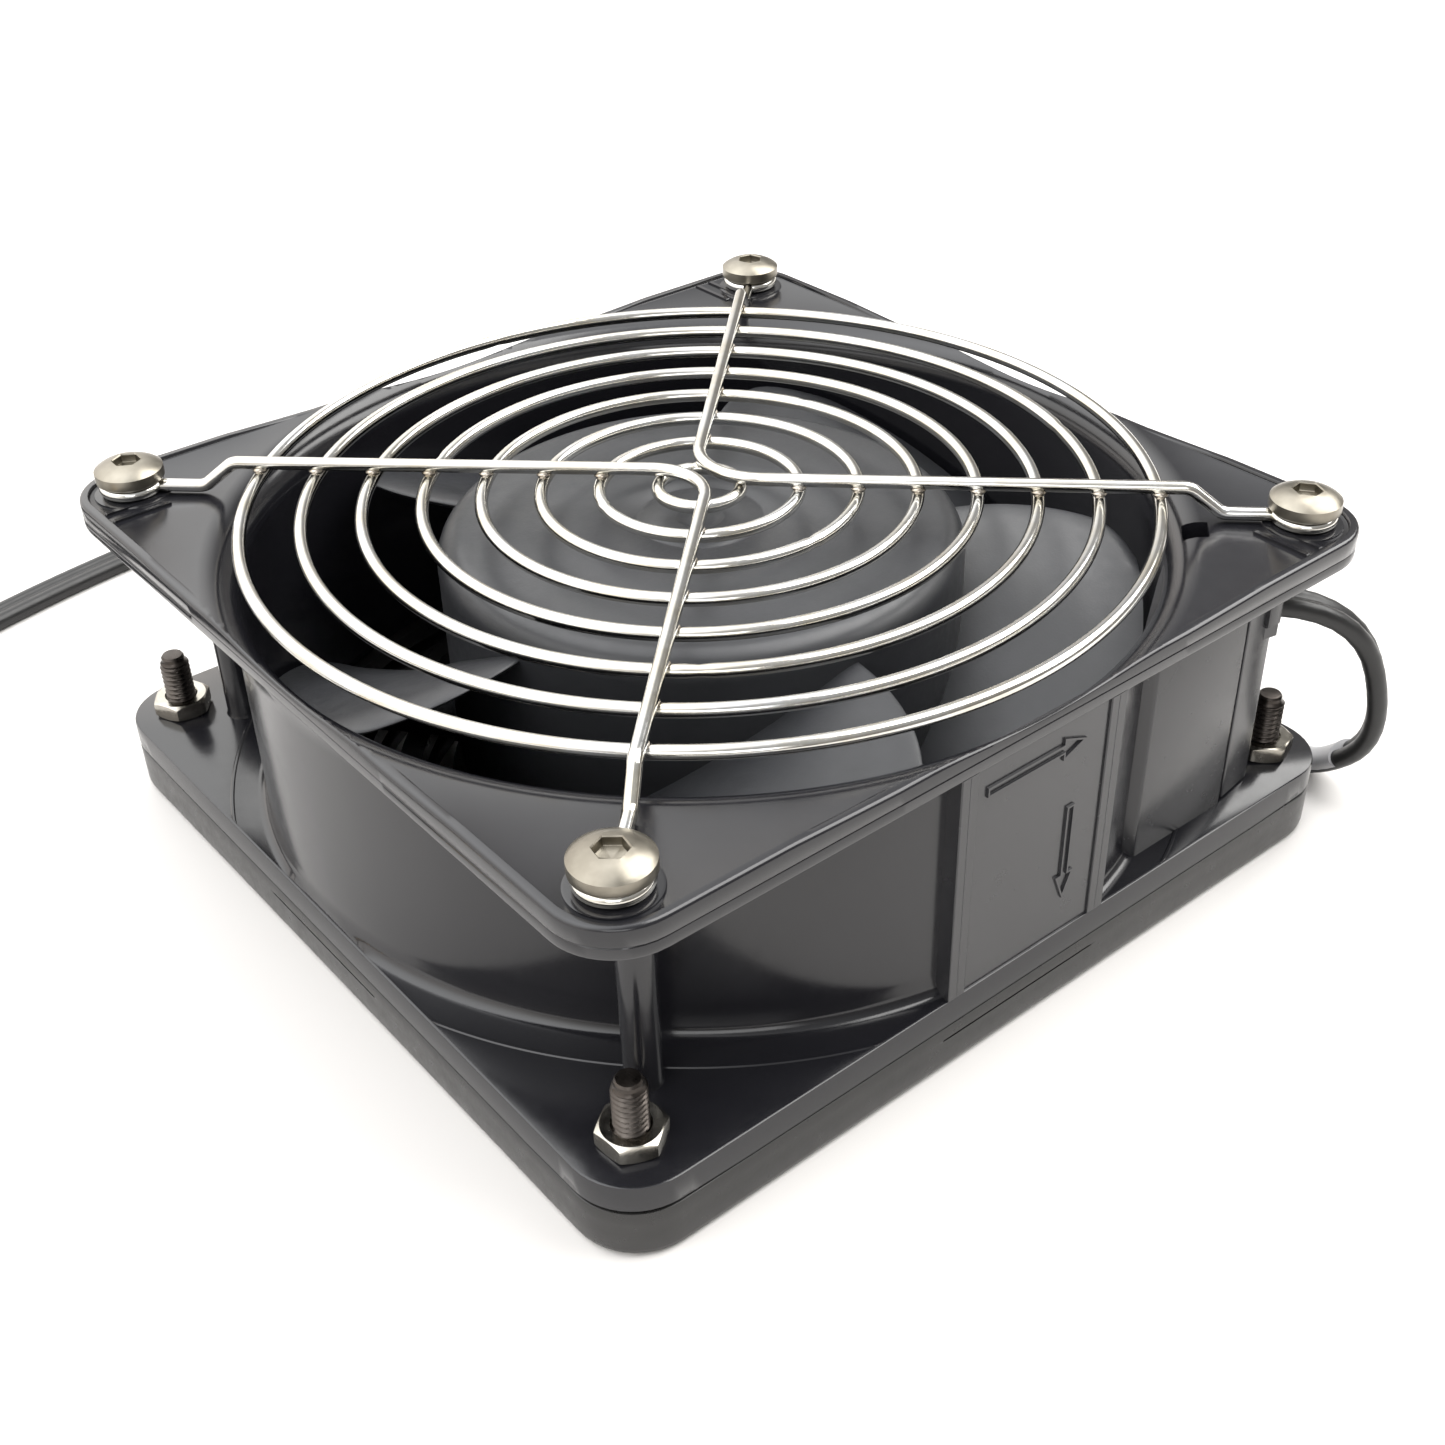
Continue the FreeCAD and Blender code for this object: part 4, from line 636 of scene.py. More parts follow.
def housing_profile(angle):
    """The housing's section: up the bore, over the bell mouth and rim, and down the outside."""
    edge = outline_radius(angle)
    lip, free = min(MOUTH, edge - EDGE_ROUND), edge - EDGE_FREE
    profile = [(BORE + 0.4, FRAME_LOW), (BORE, FRAME_LOW + 0.4), (BORE, 24.0)]
    profile.append((BORE, FRAME_HIGH - MOUTH_ROUND))
    for k in range(1, MOUTH_STEPS + 1):
        turn = math.radians(90 * k / MOUTH_STEPS)
        radius = min(MOUTH - MOUTH_ROUND * math.cos(turn), lip)
        profile.append((radius, mouth_height(radius)))
    profile += rim_profile(angle, edge, lip)
    layer = FLANGE_UNDER + LINE_UP
    profile += [
        (edge, layer + LINE_HALF), (edge - 0.1, layer), (edge, layer - LINE_HALF),
        (edge, FLANGE_UNDER + EDGE_ROUND), (edge - 0.1, FLANGE_UNDER + 0.1),
        (edge - EDGE_ROUND, FLANGE_UNDER),
    ]
    profile += [(min(WALL_OUT + out, free), FLANGE_UNDER - away) for out, away in FILLET]
    profile += [(WALL_OUT, FLANGE_UNDER - 3), (WALL_OUT, WALL_MIDDLE), (WALL_OUT, FLANGE_TOP + 3)]
    profile += [(min(WALL_OUT + out, free), FLANGE_TOP + away) for out, away in FILLET[::-1]]
    bead = min(WALL_OUT + BEAD_OUT, free)
    rise = BEAD_RISE if bead > WALL_OUT + BEAD_OUT - 0.1 else 0
    for out, lift in ((0, 0), (0.15, rise), (0.4, rise), (0.55, 0)):
        profile.append((min(bead + out, free), FLANGE_TOP + lift))
    seam = seam_edge(angle)
    profile += [
        (edge - EDGE_ROUND, FLANGE_TOP), (edge - 0.1, FLANGE_TOP - 0.1), (edge, FLANGE_TOP - EDGE_ROUND),
        (edge, FRAME_LOW + seam), (edge - seam, FRAME_LOW),
    ]
    return profile


housing = piece("housing_shell", *profile_round(housing_profile), MAT["housing"], node="fan_housing",
                slot="housing_plastic", sharp=38)

# a small slot through the upper flange beside the mouth
SLOT_ANGLE, SLOT_RADIUS, SLOT_SIZE, SLOT_LEVEL = -47.3, 61.1, (3.1, 3.8, 9), 43.5
slot_mesh = bpy.data.meshes.new("slot_tool")
bm = bmesh.new()
bmesh.ops.create_cube(bm, size=1)
slot_size = Matrix.Diagonal((*[c * MM for c in SLOT_SIZE], 1))
slot_at = Matrix.Translation((SLOT_RADIUS * MM, 0, SLOT_LEVEL * MM))
slot_place = Matrix.Rotation(math.radians(SLOT_ANGLE), 4, "Z") @ slot_at @ slot_size
bmesh.ops.transform(bm, matrix=slot_place, verts=bm.verts)
bm.to_mesh(slot_mesh)
bm.free()
slot_tool = placed("slot_tool", slot_mesh)
slot_cut = housing.modifiers.new("slot", "BOOLEAN")
slot_cut.operation = "DIFFERENCE"
slot_cut.solver = "EXACT"
slot_cut.object = slot_tool
bpy.context.view_layer.update()
cut_mesh = bpy.data.meshes.new_from_object(housing.evaluated_get(bpy.context.evaluated_depsgraph_get()))
housing.modifiers.clear()
housing.data = cut_mesh
bpy.data.objects.remove(slot_tool)

# corner posts, round pads under the guard's eyes, and short bars beside three of the screws
POST_AT, POST_STEPS, PAD_STEPS = 46.3, 40, 64
post = lathe([
    (0, FLANGE_TOP - 0.1), (2.4, FLANGE_TOP - 0.1), (2.15, FLANGE_TOP + 0.5), (2.2, 22), (2.5, 38.2),
    (2.55, 39.2), (3.0, 39.7), (3.1, 40.2), (3.1, FLANGE_UNDER + 0.1), (0, FLANGE_UNDER + 0.1),
], POST_STEPS)
pad = lathe([
    (0, FLANGE_FACE - 0.1), (5.0, FLANGE_FACE - 0.1), (4.9, FRAME_HIGH - 0.05), (4.6, FRAME_HIGH),
    (0, FRAME_HIGH),
], PAD_STEPS)
BAR_OFFSETS, BAR_HALF, BAR_START, BAR_END, BAR_RISE = (46.0, 48.5), 0.3, 50.2, 57.9, 0.3


def corner_bar(sx, sy, offset):
    """A short bar on the flange's face at a corner, square to the edge that it ends at."""
    across, along = (offset - BAR_HALF, offset + BAR_HALF), (BAR_START, BAR_END)
    x, y = (across, along) if sx > 0 else (along, across)
    corners = [(sx * a, sy * b) for a, b in ((x[0], y[0]), (x[1], y[0]), (x[1], y[1]), (x[0], y[1]))]
    return slab(corners if sx * sy > 0 else corners[::-1], FLANGE_FACE - 0.1, FLANGE_FACE + BAR_RISE, 0.1)


fittings = []
for sx, sy in CORNERS:
    if (sx, sy) != (1, -1):
        fittings.append(moved(post, POST_AT * sx, POST_AT * sy))
    fittings.append(moved(pad, HOLE * sx, HOLE * sy))
    if (sx, sy) != (-1, -1):
        fittings += [corner_bar(sx, sy, offset) for offset in BAR_OFFSETS]
piece("housing_posts", *join(*fittings), MAT["housing"], slot="housing_plastic", sharp=40)

# the label panel between two strips, with two arrows
PANEL_LEFT, PANEL_RIGHT, PANEL_FACE, PANEL_BACK = -13.4, 12.4, -59.15, -56.6
STRIP_FACE, STRIP_WIDE, STRIP_LINE = -59.45, 2.6, 0.15
side_low, side_high = FLANGE_TOP - 0.2, FLANGE_UNDER + 0.2
panel_parts = [box(PANEL_LEFT + 0.4, PANEL_RIGHT - 0.4, PANEL_FACE, PANEL_BACK, side_low, side_high)]
for low, high in ((PANEL_LEFT, PANEL_LEFT + STRIP_WIDE), (PANEL_RIGHT - STRIP_WIDE, PANEL_RIGHT)):
    panel_parts.append(box(low, high, STRIP_FACE, PANEL_BACK, side_low, side_high))
    left, right = (low + high) / 2 - STRIP_LINE, (low + high) / 2 + STRIP_LINE
    panel_parts.append(box(left, right, STRIP_FACE - 0.04, -57, FLANGE_TOP, FLANGE_UNDER))
panel = piece("label_panel", *join(*panel_parts), MAT["wall"], slot="housing_plastic", sharp=20)
add_bevel(panel, 0.14)

HEAD_LONG, HEAD_HALF, SHAFT_HALF, LINE_WIDE, ARROW_RISE = 3.2, 1.3, 0.5, 0.32, 0.28


def arrow_line(length):
    """Corners of an arrow's outline, pointing along +x from the origin."""
    neck = length - HEAD_LONG
    return [(0, -SHAFT_HALF), (neck, -SHAFT_HALF), (neck, -HEAD_HALF), (length, 0), (neck, HEAD_HALF),
            (neck, SHAFT_HALF), (0, SHAFT_HALF)]


def arrow_part(tail_x, tail_z, length, down):
    """A raised line round an arrow on the panel, pointing to +x or down."""
    corners = arrow_line(length)
    count = len(corners)
    rings = []
    for k in range(count):
        here, before, after = Vector(corners[k]), Vector(corners[k - 1]), Vector(corners[(k + 1) % count])
        one, two = (here - before).normalized(), (after - here).normalized()
        normal_one, normal_two = Vector((one.y, -one.x)), Vector((two.y, -two.x))
        out = (normal_one + normal_two).normalized()
        out = out / max(out.dot(normal_one), 0.35)
        ring = []
        for aside, rise in ((-1, 0.1), (-0.7, -ARROW_RISE), (0.7, -ARROW_RISE), (1, 0.1)):
            spot = here + out * aside * LINE_WIDE / 2
            u, v = (spot.x, spot.y) if not down else (spot.y, -spot.x)
            ring.append((tail_x + u, PANEL_FACE + rise, tail_z + v))
        rings.append(ring)
    return loft(rings, True)


arrows = join(arrow_part(-9.2, 38.0, 15, False), arrow_part(4.7, 29.2, 13, True))
piece("label_arrows", *arrows, MAT["wall"], slot="housing_plastic", sharp=25)

# the column beside the terminals, and the terminal cover with its latch and a step below the latch
column_line = rounded([(20.4, -54.4), (22.0, -56.2), (38.7, -56.2), (38.7, -43.2), (33.0, -46.5)], 0.4, 3)
piece("terminal_column", *slab(column_line, side_low, side_high, 0.02), MAT["wall"],
      slot="housing_plastic", sharp=35)
LATCH_LOW, LATCH_HIGH, STEP_LOW, STEP_HIGH = 34.6, 40.9, 32.8, 34.8
cover_line = rounded([(39.2, -56.0), (45.6, -55.1), (45.6, -43.6), (40.6, -43.6)], 0.4, 4)
latch_line = rounded([(43.4, -55.9), (45.7, -56.1), (45.7, -50.0), (44.0, -50.0)], 0.3, 2)
step_line = [(43.6, -55.4), (45.7, -55.8), (45.7, -50.4), (44.0, -50.4)]
cover_parts = [
    slab(cover_line, FLANGE_TOP + 0.15, FLANGE_UNDER - 0.15, 0.3),
    slab(latch_line, LATCH_LOW, LATCH_HIGH, 0.3),
    slab(step_line, STEP_LOW, STEP_HIGH, 0.1),
]
piece("terminal_lid", *join(*cover_parts), MAT["wall"], node="terminal_cover",
      slot="housing_plastic", sharp=35)

# the motor's plate on four struts
STRUT_ANGLE, STRUT_WIDE, MOTOR_RADIUS = -50.6, 6.4, 31.0
carrier_parts = [lathe([
    (0, FRAME_LOW), (MOTOR_RADIUS - 0.5, FRAME_LOW), (MOTOR_RADIUS, FRAME_LOW + 0.5),
    (MOTOR_RADIUS, FLANGE_TOP - 0.5), (MOTOR_RADIUS - 0.5, FLANGE_TOP), (0, FLANGE_TOP),
], 120)]
strut_half, strut_low, strut_high = STRUT_WIDE / 2, FRAME_LOW + 0.05, FLANGE_TOP - 0.05
strut = box(MOTOR_RADIUS - 2, BORE + 0.8, -strut_half, strut_half, strut_low, strut_high)
carrier_parts += [moved(strut, turn=STRUT_ANGLE + 90 * k) for k in range(4)]
carrier = piece("motor_carrier", *join(*carrier_parts), MAT["housing"], slot="housing_plastic", sharp=35)
add_bevel(carrier, 0.4, 3)

# ---------------------------------------------------------------- impeller
HUB, HUB_HIGH, HUB_LOW, HUB_FLAT, HUB_WALL = 33.5, 43.4, 12.0, 30.0, 1.6
hub_round = HUB - HUB_FLAT
hub_profile = [
    (0, HUB_HIGH - 0.5), (1.6, HUB_HIGH - 0.5), (2.2, HUB_HIGH - 0.45), (2.9, HUB_HIGH - 0.1),
    (3.2, HUB_HIGH),
    (7.6, HUB_HIGH), (7.8, HUB_HIGH - 0.15), (8.3, HUB_HIGH - 0.15), (8.5, HUB_HIGH), (18, HUB_HIGH),
]
hub_profile += arc(HUB_FLAT, HUB_HIGH - hub_round, hub_round, 90, 0, 10)
hub_profile += [
    (HUB, 28), (HUB, HUB_LOW + 0.3), (HUB - 0.3, HUB_LOW), (HUB - 1.3, HUB_LOW),
    (HUB - HUB_WALL, HUB_LOW + 0.3), (HUB - HUB_WALL, HUB_HIGH - 3.6), (HUB - 3.6, HUB_HIGH - 1.7),
    (4, HUB_HIGH - 1.8), (1.6, HUB_HIGH - 1.8), (0, HUB_HIGH - 1.8),
]
hub_part = lathe(hub_profile, 144)

BLADES, BLADE_START, BLADE_SPAN, SWEEP_BACK, BLADE_REACH = 5, -24.0, 60.0, 8.5, 22.7
ROOT, TIP, BLADE_HIGH, BLADE_FALL, BLADE_THICK = 32.6, 56.2, 40.0, 23.0, 2.0
TIP_ROUND, TIP_PULL, BLADE_BOW, BLADE_BLUNT = 5, 4.5, 0.25, 3.575
RADIAL, ALONG = 26, 34


def blade_section(radius, number):
    """The closed section of a blade at a radius: along its upper face, then back along the lower one."""
    share = (radius - HUB) / BLADE_REACH
    turned = 360 / BLADES * number
    pull = TIP_PULL * (max(radius - (TIP - TIP_ROUND), 0) / TIP_ROUND) ** 3
    lead = BLADE_START - SWEEP_BACK * share * share - turned - pull
    span = BLADE_SPAN - pull * 1.6
    ring = []
    shares = [0.5 - 0.5 * math.cos(math.pi * k / ALONG) for k in range(ALONG + 1)]
    for face in (1, -1):
        for u in shares[::face]:
            at = (BLADE_START - turned - lead + span * u) / BLADE_SPAN
            fall = at + BLADE_BOW * (at * at - at)
            height = BLADE_HIGH - BLADE_FALL * fall
            thick = BLADE_THICK * min(1.0, BLADE_BLUNT * math.sqrt(max(u * (1 - u), 0)))
            angle = math.radians(lead - span * u)
            z = height - BLADE_THICK / 2 + face * thick / 2
            ring.append((radius * math.cos(angle), radius * math.sin(angle), z))
    return ring


blade_radii = [ROOT + (TIP - ROOT) * k / RADIAL for k in range(RADIAL + 1)]
blade_parts = [loft([blade_section(radius, number) for radius in blade_radii]) for number in range(BLADES)]
piece("fan_wheel", *join(hub_part, *blade_parts), MAT["impeller"], body="rotor", node="impeller",
      slot="impeller_plastic", sharp=50)

# ---------------------------------------------------------------- finger guard
WIRE, WIRE_STEPS, RING_Z, LEG_HIGH, LEG_LOW = 0.85, 16, 47.5, 49.2, 45.85
RINGS, RING_FIRST, RING_PITCH = 8, 5.2, 7.35
EYE_RADIUS, EYE_REACH, CRANK_LOW, CRANK_HIGH, CRANK_BEND = 3.3, 3.2, 64.3, 60.1, 2.4
ring_radii = [RING_FIRST + RING_PITCH * k for k in range(RINGS)]
for k, ring_radius in enumerate(ring_radii):
    steps = 96 + 16 * k
    joint_at = (steps * (3 + 5 * k) // 17) % steps
    ring_part = hoop(0, 0, ring_radius, RING_Z, circle(WIRE, WIRE_STEPS), steps, joint_at)
    piece(f"guard_hoop_{k + 1}", *ring_part, MAT["chrome"], node=f"guard_ring_{k + 1}",
          slot="guard_chrome", sharp=60)


def bent(points, radii, steps=10):
    """Points of a wire bent round its corners, a radius for each inner corner."""
    made = [points[0]]
    for k in range(1, len(points) - 1):
        here = points[k]
        back, ahead = (points[k - 1] - here).normalized(), (points[k + 1] - here).normalized()
        half = back.angle(ahead) / 2
        reach = radii[k - 1] / math.tan(half)
        bisector = (back + ahead).normalized()
        centre = here + bisector * (radii[k - 1] / math.sin(half))
        start, end = here + back * reach - centre, here + ahead * reach - centre
        for i in range(steps + 1):
            made.append(centre + start.slerp(end, i / steps) * radii[k - 1])
    made.append(points[-1])
    return made


def guard_leg_piece(name, node, vertex, bend, side):
    """One wire from eye to eye: it bends at the guard's middle and cranks down to the flange at its ends."""
    middle = Vector((vertex, 0, LEG_HIGH))
    corner = HOLE * math.sqrt(2)
    legs = []
    for sign in (-1, 1):
        eye = Vector((HOLE * side, HOLE * sign, LEG_HIGH))
        out = (eye - middle).normalized()
        reach = (eye - middle).length
        marks = []
        for radius, height in ((corner - EYE_REACH, LEG_LOW), (CRANK_LOW, LEG_LOW), (CRANK_HIGH, LEG_HIGH)):
            mark = middle + out * (reach - (corner - radius))
            mark.z = height
            marks.append(mark)
        legs.append(marks)
    bends = [CRANK_BEND, CRANK_BEND, bend, CRANK_BEND, CRANK_BEND]
    parts = [sweep(bent(legs[0] + [middle] + legs[1][::-1], bends), circle(WIRE, WIRE_STEPS))]
    for sign in (-1, 1):
        parts.append(hoop(HOLE * side, HOLE * sign, EYE_RADIUS, LEG_LOW, circle(WIRE, 14), 48))
    piece(name, *join(*parts), MAT["chrome"], node=node, slot="guard_chrome", sharp=60)


def leg_welds(vertex, side):
    """A small weld wherever a leg crosses a ring; the innermost ring has none."""
    blob = lathe([(0, -0.55), (0.75, -0.4), (1.0, -0.1), (1.0, 0.1), (0.75, 0.4), (0, 0.55)], 14)
    start = Vector((vertex, 0, 0))
    made = []
    for sign in (-1, 1):
        out = (Vector((HOLE * side, HOLE * sign, 0)) - start).normalized()
        for k in range(1, RINGS):
            room = start.dot(out) ** 2 - start.length_squared + ring_radii[k] ** 2
            spot = start + out * (math.sqrt(max(room, 0)) - start.dot(out))
            made.append(moved(blob, spot.x, spot.y, (RING_Z + LEG_HIGH) / 2, 31 * k))
    return made


welds = []
for name, node, vertex, bend, side in (
    ("guard_leg_left", "guard_wire_left", 2.1, 7.2, -1),
    ("guard_leg_right", "guard_wire_right", -1.2, 8.4, 1),
):
    guard_leg_piece(name, node, vertex, bend, side)
    welds += leg_welds(vertex, side)
piece("guard_welds", *join(*welds), MAT["weld"], slot="guard_chrome", sharp=70)

# ---------------------------------------------------------------- screws, bolts and nuts
SOCKET_CORNER, SOCKET_DEEP, SOCKET_EDGE = 1.85, 1.3, 1.95
HEAD_LOW, HEAD_HIGH, HEAD_RIM, HEAD_SKIRT, HEAD_BORE, SCREW_RADIUS = 46.75, 49.6, 4.35, 0.55, 1.85, 1.75
DOME_START, DOME_STEPS, DOME_REACH, DOME_POWER = 2.05, 11, 1.13, 1.15
NUT_FLAT, NUT_CORNER, NUT_SLOPE, NUT_EDGE = 3.5, 4.04, 0.55, 0.15
FACETS, THREAD_AROUND, THREAD_ROWS = 72, 28, 8


def hexagon_radius(angle, corner, turn):
    within = (angle - turn) % (math.pi / 3) - math.pi / 6
    return corner * math.cos(math.pi / 6) / math.cos(within)


def formed_ring(x, y, radius, height):
    """Points round (x, y): the radius may be a function of the angle, and the height one of the radius."""
    ring = []
    for k in range(FACETS):
        angle = 2 * math.pi * k / FACETS
        reach = radius(angle) if callable(radius) else radius
        z = height(reach) if callable(height) else height
        ring.append((x + reach * math.cos(angle), y + reach * math.sin(angle), z))
    return ring


def button_head(x, y, turn):
    """A domed head with a hexagon socket, from the socket's floor over the dome to the underside."""
    floor = HEAD_HIGH - SOCKET_DEEP

    def dome(radius):
        share = math.sqrt(max(1 - (radius / (HEAD_RIM * DOME_REACH)) ** 2, 0)) ** DOME_POWER
        return HEAD_LOW + HEAD_SKIRT + (HEAD_HIGH - HEAD_LOW - HEAD_SKIRT) * share

    def socket(angle):
        return hexagon_radius(angle, SOCKET_CORNER, turn)

    stations = [
        (0.05, floor - 0.35), (lambda a: socket(a) * 0.96, floor), (socket, floor + 0.1),
        (socket, dome(SOCKET_EDGE) - 0.12), (lambda a: socket(a) + 0.12, dome(SOCKET_EDGE) + 0.02),
    ]
    for k in range(1, DOME_STEPS + 1):
        stations.append((DOME_START + (HEAD_RIM - DOME_START) * k / DOME_STEPS, dome))
    stations += [
        (HEAD_RIM + 0.03, HEAD_LOW + 0.75), (HEAD_RIM, HEAD_LOW + 0.2), (HEAD_RIM - 0.2, HEAD_LOW),
        (HEAD_BORE, HEAD_LOW),
    ]
    return loft([formed_ring(x, y, radius, height) for radius, height in stations])


def thread(x, y, low, high, radius, depth, pitch, turn):
    """A threaded rod: its radius follows a helix."""
    rows = int((high - low) / pitch * THREAD_ROWS)
    rings = [[(x, y, low)] * THREAD_AROUND]
    for i in range(rows + 1):
        z = low + (high - low) * i / rows
        ring = []
        for k in range(THREAD_AROUND):
            angle = 2 * math.pi * k / THREAD_AROUND
            wave = (z / pitch - (angle + turn) / (2 * math.pi)) % 1
            cut_in = min(max((abs(wave - 0.5) * 2 - 0.15) / 0.7, 0), 1)
            reach = radius - depth * cut_in
            ring.append((x + reach * math.cos(angle), y + reach * math.sin(angle), z))
        rings.append(ring)
    rings.append([(x, y, high)] * THREAD_AROUND)
    return loft(rings, False, False)


def hex_nut(x, y, low, high, bore, turn):
    """A nut with chamfered corners, from its bore over the top and down the flats."""
    def fall(radius):
        return (radius - NUT_FLAT + NUT_EDGE) * NUT_SLOPE

    def side(angle):
        return hexagon_radius(angle, NUT_CORNER, turn)

    stations = [
        (bore, low), (bore, high - 0.35), (bore + 0.35, high), (NUT_FLAT - NUT_EDGE, high),
        (lambda a: side(a) - 0.02, lambda r: high - fall(r)), (side, lambda r: high - fall(r) - 0.06),
        (side, lambda r: low + fall(r) + 0.06), (NUT_FLAT - NUT_EDGE, low),
    ]
    return loft([formed_ring(x, y, radius, height) for radius, height in stations], True)


SCREW_LOW, UPPER_NUT_LOW, LOWER_NUT_HIGH, NUT_BORE = 38.0, 39.2, 13.1, 1.9
BOLT_LOW, BOLT_HIGH, BOLT_RADIUS = 4.2, 18.4, 2.0
bolt_tip = lathe([
    (0, 18.2), (1.7, 18.2), (1.85, 18.5), (1.62, 18.8), (1.55, 19.0), (1.55, 19.35), (1.35, 19.62),
    (1.0, 19.7), (0, 19.7),
], 28)
bolt_head = lathe([
    (0, 2.2), (1.4, 2.2), (1.4, 2.25), (3.5, 2.25), (3.8, 2.6), (3.8, 4.2), (3.6, 4.4), (0, 4.4),
], 48)
# how each corner's socket and lower nut are turned, in radians
SOCKET_TURNS = [0.35, 0.1, 0.8, 0.5]
NUT_TURNS = [0.62, 0.30, 0.15, 0.95]
screw_parts, upper_nuts, bolt_parts, lower_nuts = [], [], [], []
for n, (sx, sy) in enumerate(CORNERS):
    x, y = HOLE * sx, HOLE * sy
    screw_parts.append(button_head(x, y, SOCKET_TURNS[n]))
    screw_parts.append(thread(x, y, SCREW_LOW, HEAD_LOW + 0.15, SCREW_RADIUS, depth=0.25, pitch=0.7, turn=n))
    upper_nuts.append(hex_nut(x, y, UPPER_NUT_LOW, FLANGE_UNDER, SCREW_RADIUS, NUT_TURNS[n] + 0.4))
    lower_nuts.append(hex_nut(x, y, FLANGE_TOP, LOWER_NUT_HIGH, NUT_BORE, NUT_TURNS[n]))
    bolt_parts.append(thread(x, y, BOLT_LOW, BOLT_HIGH, BOLT_RADIUS, depth=0.36, pitch=0.75, turn=n * 1.7))
    bolt_parts.append(moved(bolt_tip, x, y))
    bolt_parts.append(moved(bolt_head, x, y))
piece("guard_screw_set", *join(*screw_parts), MAT["nickel"], node="guard_screws",
      slot="nickel_steel", sharp=34)
piece("guard_nut_set", *join(*upper_nuts), MAT["nut"], node="guard_nuts", slot="nickel_steel", sharp=28)
piece("mount_bolt_set", *join(*bolt_parts), MAT["oxide"], node="mount_bolts", slot="black_steel", sharp=32)
piece("mount_nut_set", *join(*lower_nuts), MAT["nut"], node="mount_nuts", slot="nickel_steel", sharp=28)

# ---------------------------------------------------------------- base grid unit
TRAY_HIGH, TRAY_WALL, TRAY_FLOOR, OPENING = 6.8, 1.8, 2.2, 56.0
SLIT_HALF, SLIT_X, SLIT_Y, SLIT_HIGH, SLIT_DEEP = 12.0, -1.1, 2.0, 4.9, 0.5
GRID_RINGS, GRID_HUB, GRID_PITCH, GRID_HALF, SPOKES, SPOKE_HALF = 5, 10.7, 7.6, 1.6, 12, 1


def tray_profile(angle):
    """The tray's section: up from its opening, over the wall, and down the outside with a slit."""
    edge = outline_radius(angle)
    c, s = math.cos(angle), math.sin(angle)
    aside = edge * c - SLIT_X if abs(s) > abs(c) else edge * s - SLIT_Y
    slit = SLIT_DEEP if abs(aside) < SLIT_HALF else 0
    soft = seam_edge(angle)
    inside = outline_radius(angle, TRAY_WALL)
    opening = min(OPENING, inside - 0.3)
    return [
        (opening, 0.3), (opening, TRAY_FLOOR - 0.3), (opening + 0.2, TRAY_FLOOR),
        (max(inside - 0.3, opening + 0.21), TRAY_FLOOR), (inside, TRAY_FLOOR + 0.3),
        (inside, TRAY_HIGH - 0.15), (inside + 0.15, TRAY_HIGH),
        (edge - soft, TRAY_HIGH), (edge - soft * 0.3, TRAY_HIGH - soft * 0.3), (edge, TRAY_HIGH - soft),
        (edge, SLIT_HIGH + 0.14), (edge - slit, SLIT_HIGH + 0.1), (edge - slit, SLIT_HIGH - 0.1),
        (edge, SLIT_HIGH - 0.14), (edge, 3.5), (edge - 0.02, 1.3), (edge - 0.15, 0.75), (edge - 0.45, 0.3),
        (edge - 0.85, 0.08), (edge - 1.3, 0), (opening + 0.3, 0),
    ]


tray_parts = [profile_round(tray_profile)]
grid_section = rounded(
    [(-GRID_HALF, 0.0), (GRID_HALF, 0.0), (GRID_HALF, TRAY_FLOOR), (-GRID_HALF, TRAY_FLOOR)], 0.4, 3
)
for k in range(1, GRID_RINGS + 1):
    tray_parts.append(hoop(0, 0, GRID_HUB + GRID_PITCH * k, 0, grid_section, 120))
tray_parts.append(lathe([
    (0, 0), (GRID_HUB - 0.4, 0), (GRID_HUB, 0.4), (GRID_HUB, TRAY_FLOOR - 0.4), (GRID_HUB - 0.4, TRAY_FLOOR),
    (0, TRAY_FLOOR),
], 96))
spoke_end = OPENING + 0.8
spoke_line = [(10, -SPOKE_HALF), (spoke_end, -SPOKE_HALF), (spoke_end, SPOKE_HALF), (10, SPOKE_HALF)]
spoke = slab(rounded(spoke_line, 0.1, 1), 0.06, TRAY_FLOOR - 0.06, 0.2)
tray_parts += [moved(spoke, turn=360 / SPOKES * k) for k in range(SPOKES)]
piece("base_tray", *join(*tray_parts), MAT["tray"], node="snap_tray", slot="tray_plastic", sharp=38)

# ---------------------------------------------------------------- floor and light
PAPER, PAPER_ROUGH, PAPER_SPECULAR, FLOOR_HALF = (0.63, 0.615, 0.60, 1), 0.65, 0.25, 6
WORLD_STRENGTH, WINDOW_WAY, WINDOW_LOW, WINDOW_HIGH = 0.62, (-0.62, 0.70, 0.35), 0.55, 3.5
EXPOSURE = 0.85
floor_mesh = bpy.data.meshes.new("studio_floor")
floor_corners = [(FLOOR_HALF * sx, FLOOR_HALF * sy, 0) for sx, sy in CORNERS]
floor_mesh.from_pydata(floor_corners, [], [(0, 1, 2, 3)])
floor = placed("studio_floor", floor_mesh)
paper = bpy.data.materials.new("white_paper")
paper.use_nodes = True
paper_shader = paper.node_tree.nodes["Principled BSDF"]
paper_shader.inputs["Base Color"].default_value = PAPER
paper_shader.inputs["Roughness"].default_value = PAPER_ROUGH
paper_shader.inputs["Specular IOR Level"].default_value = PAPER_SPECULAR
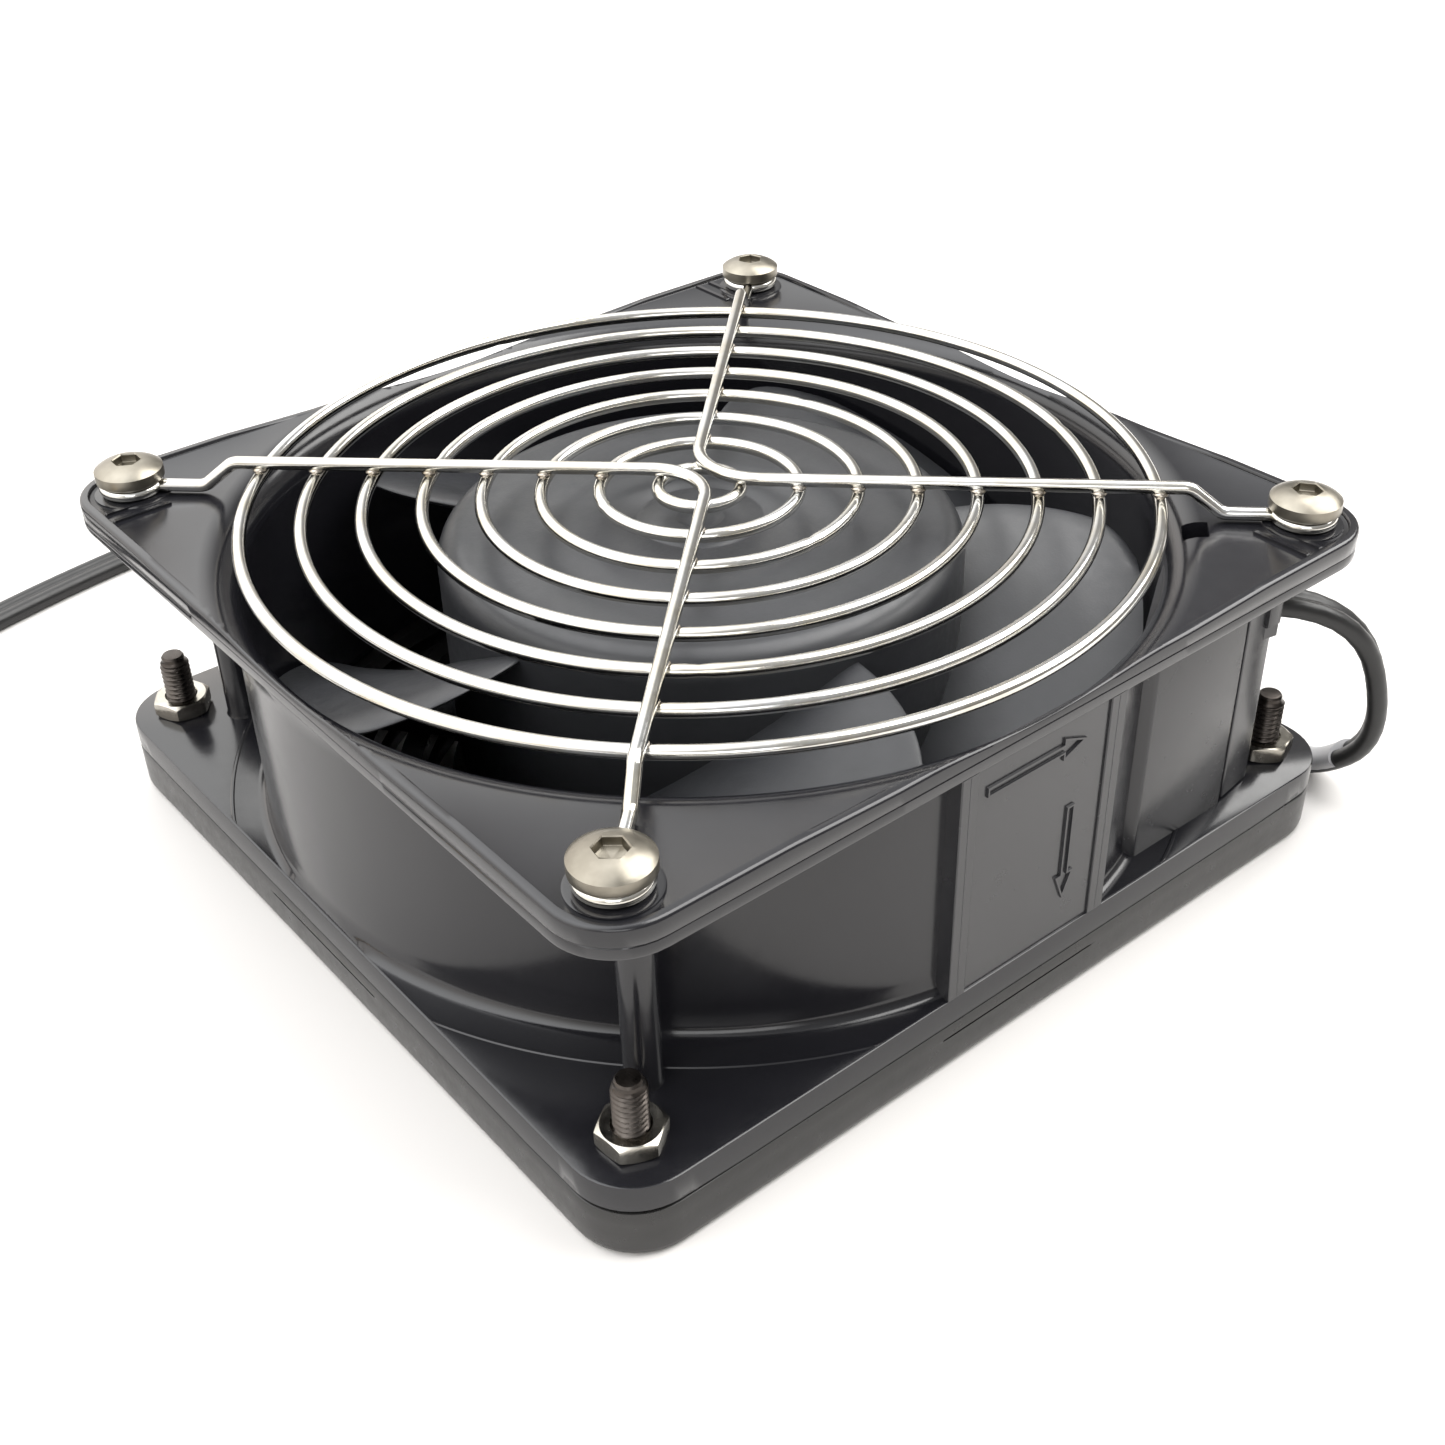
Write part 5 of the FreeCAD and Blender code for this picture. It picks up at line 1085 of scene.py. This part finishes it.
floor_mesh.materials.append(paper)

# a soft sky, brighter overhead and towards one side, like a room with a wide window
world = bpy.data.worlds.new("studio")
bpy.context.scene.world = world
world.use_nodes = True
world_tree = world.node_tree
world_background = world_tree.nodes["Background"]
sky = world_tree.nodes.new("ShaderNodeTexCoord")
parts = world_tree.nodes.new("ShaderNodeSeparateXYZ")
world_tree.links.new(sky.outputs["Generated"], parts.inputs["Vector"])
height_light = ramp(world_tree, parts.outputs["Z"], [
    (0.0, (0.50, 0.47, 0.44)), (0.3, (0.58, 0.56, 0.54)), (0.6, (0.85, 0.85, 0.84)),
    (1.0, (1.15, 1.16, 1.18)),
])
aside = world_tree.nodes.new("ShaderNodeVectorMath")
aside.operation = "DOT_PRODUCT"
aside.inputs[1].default_value = WINDOW_WAY
world_tree.links.new(sky.outputs["Generated"], aside.inputs[0])
window_light = map_range(world_tree, aside.outputs["Value"], WINDOW_LOW, WINDOW_HIGH, 0.12, 0.62)
world_mix = world_tree.nodes.new("ShaderNodeVectorMath")
world_mix.operation = "SCALE"
world_tree.links.new(height_light, world_mix.inputs[0])
world_tree.links.new(window_light, world_mix.inputs["Scale"])
world_tree.links.new(world_mix.outputs["Vector"], world_background.inputs["Color"])
world_background.inputs["Strength"].default_value = WORLD_STRENGTH


def panel_light(name, at, toward, wide, tall, power, colour=(1, 1, 1)):
    data = bpy.data.lights.new(name, "AREA")
    data.shape = "RECTANGLE"
    data.size, data.size_y = wide, tall
    data.energy = power
    data.color = colour
    lamp = placed(name, data)
    lamp.location = at
    lamp.rotation_mode = "QUATERNION"
    lamp.rotation_quaternion = (Vector(toward) - Vector(at)).to_track_quat("-Z", "Y")


panel_light("key", (0.85, -0.25, 1.15), (0, 0, 0), 1.3, 1.3, 21, (1.0, 0.99, 0.97))
panel_light("front", (-0.75, -0.95, 0.55), (0, 0, 0.02), 0.7, 0.5, 2)
scene = bpy.context.scene
scene.view_settings.view_transform = "Standard"
scene.view_settings.look = "None"
scene.view_settings.exposure = EXPOSURE
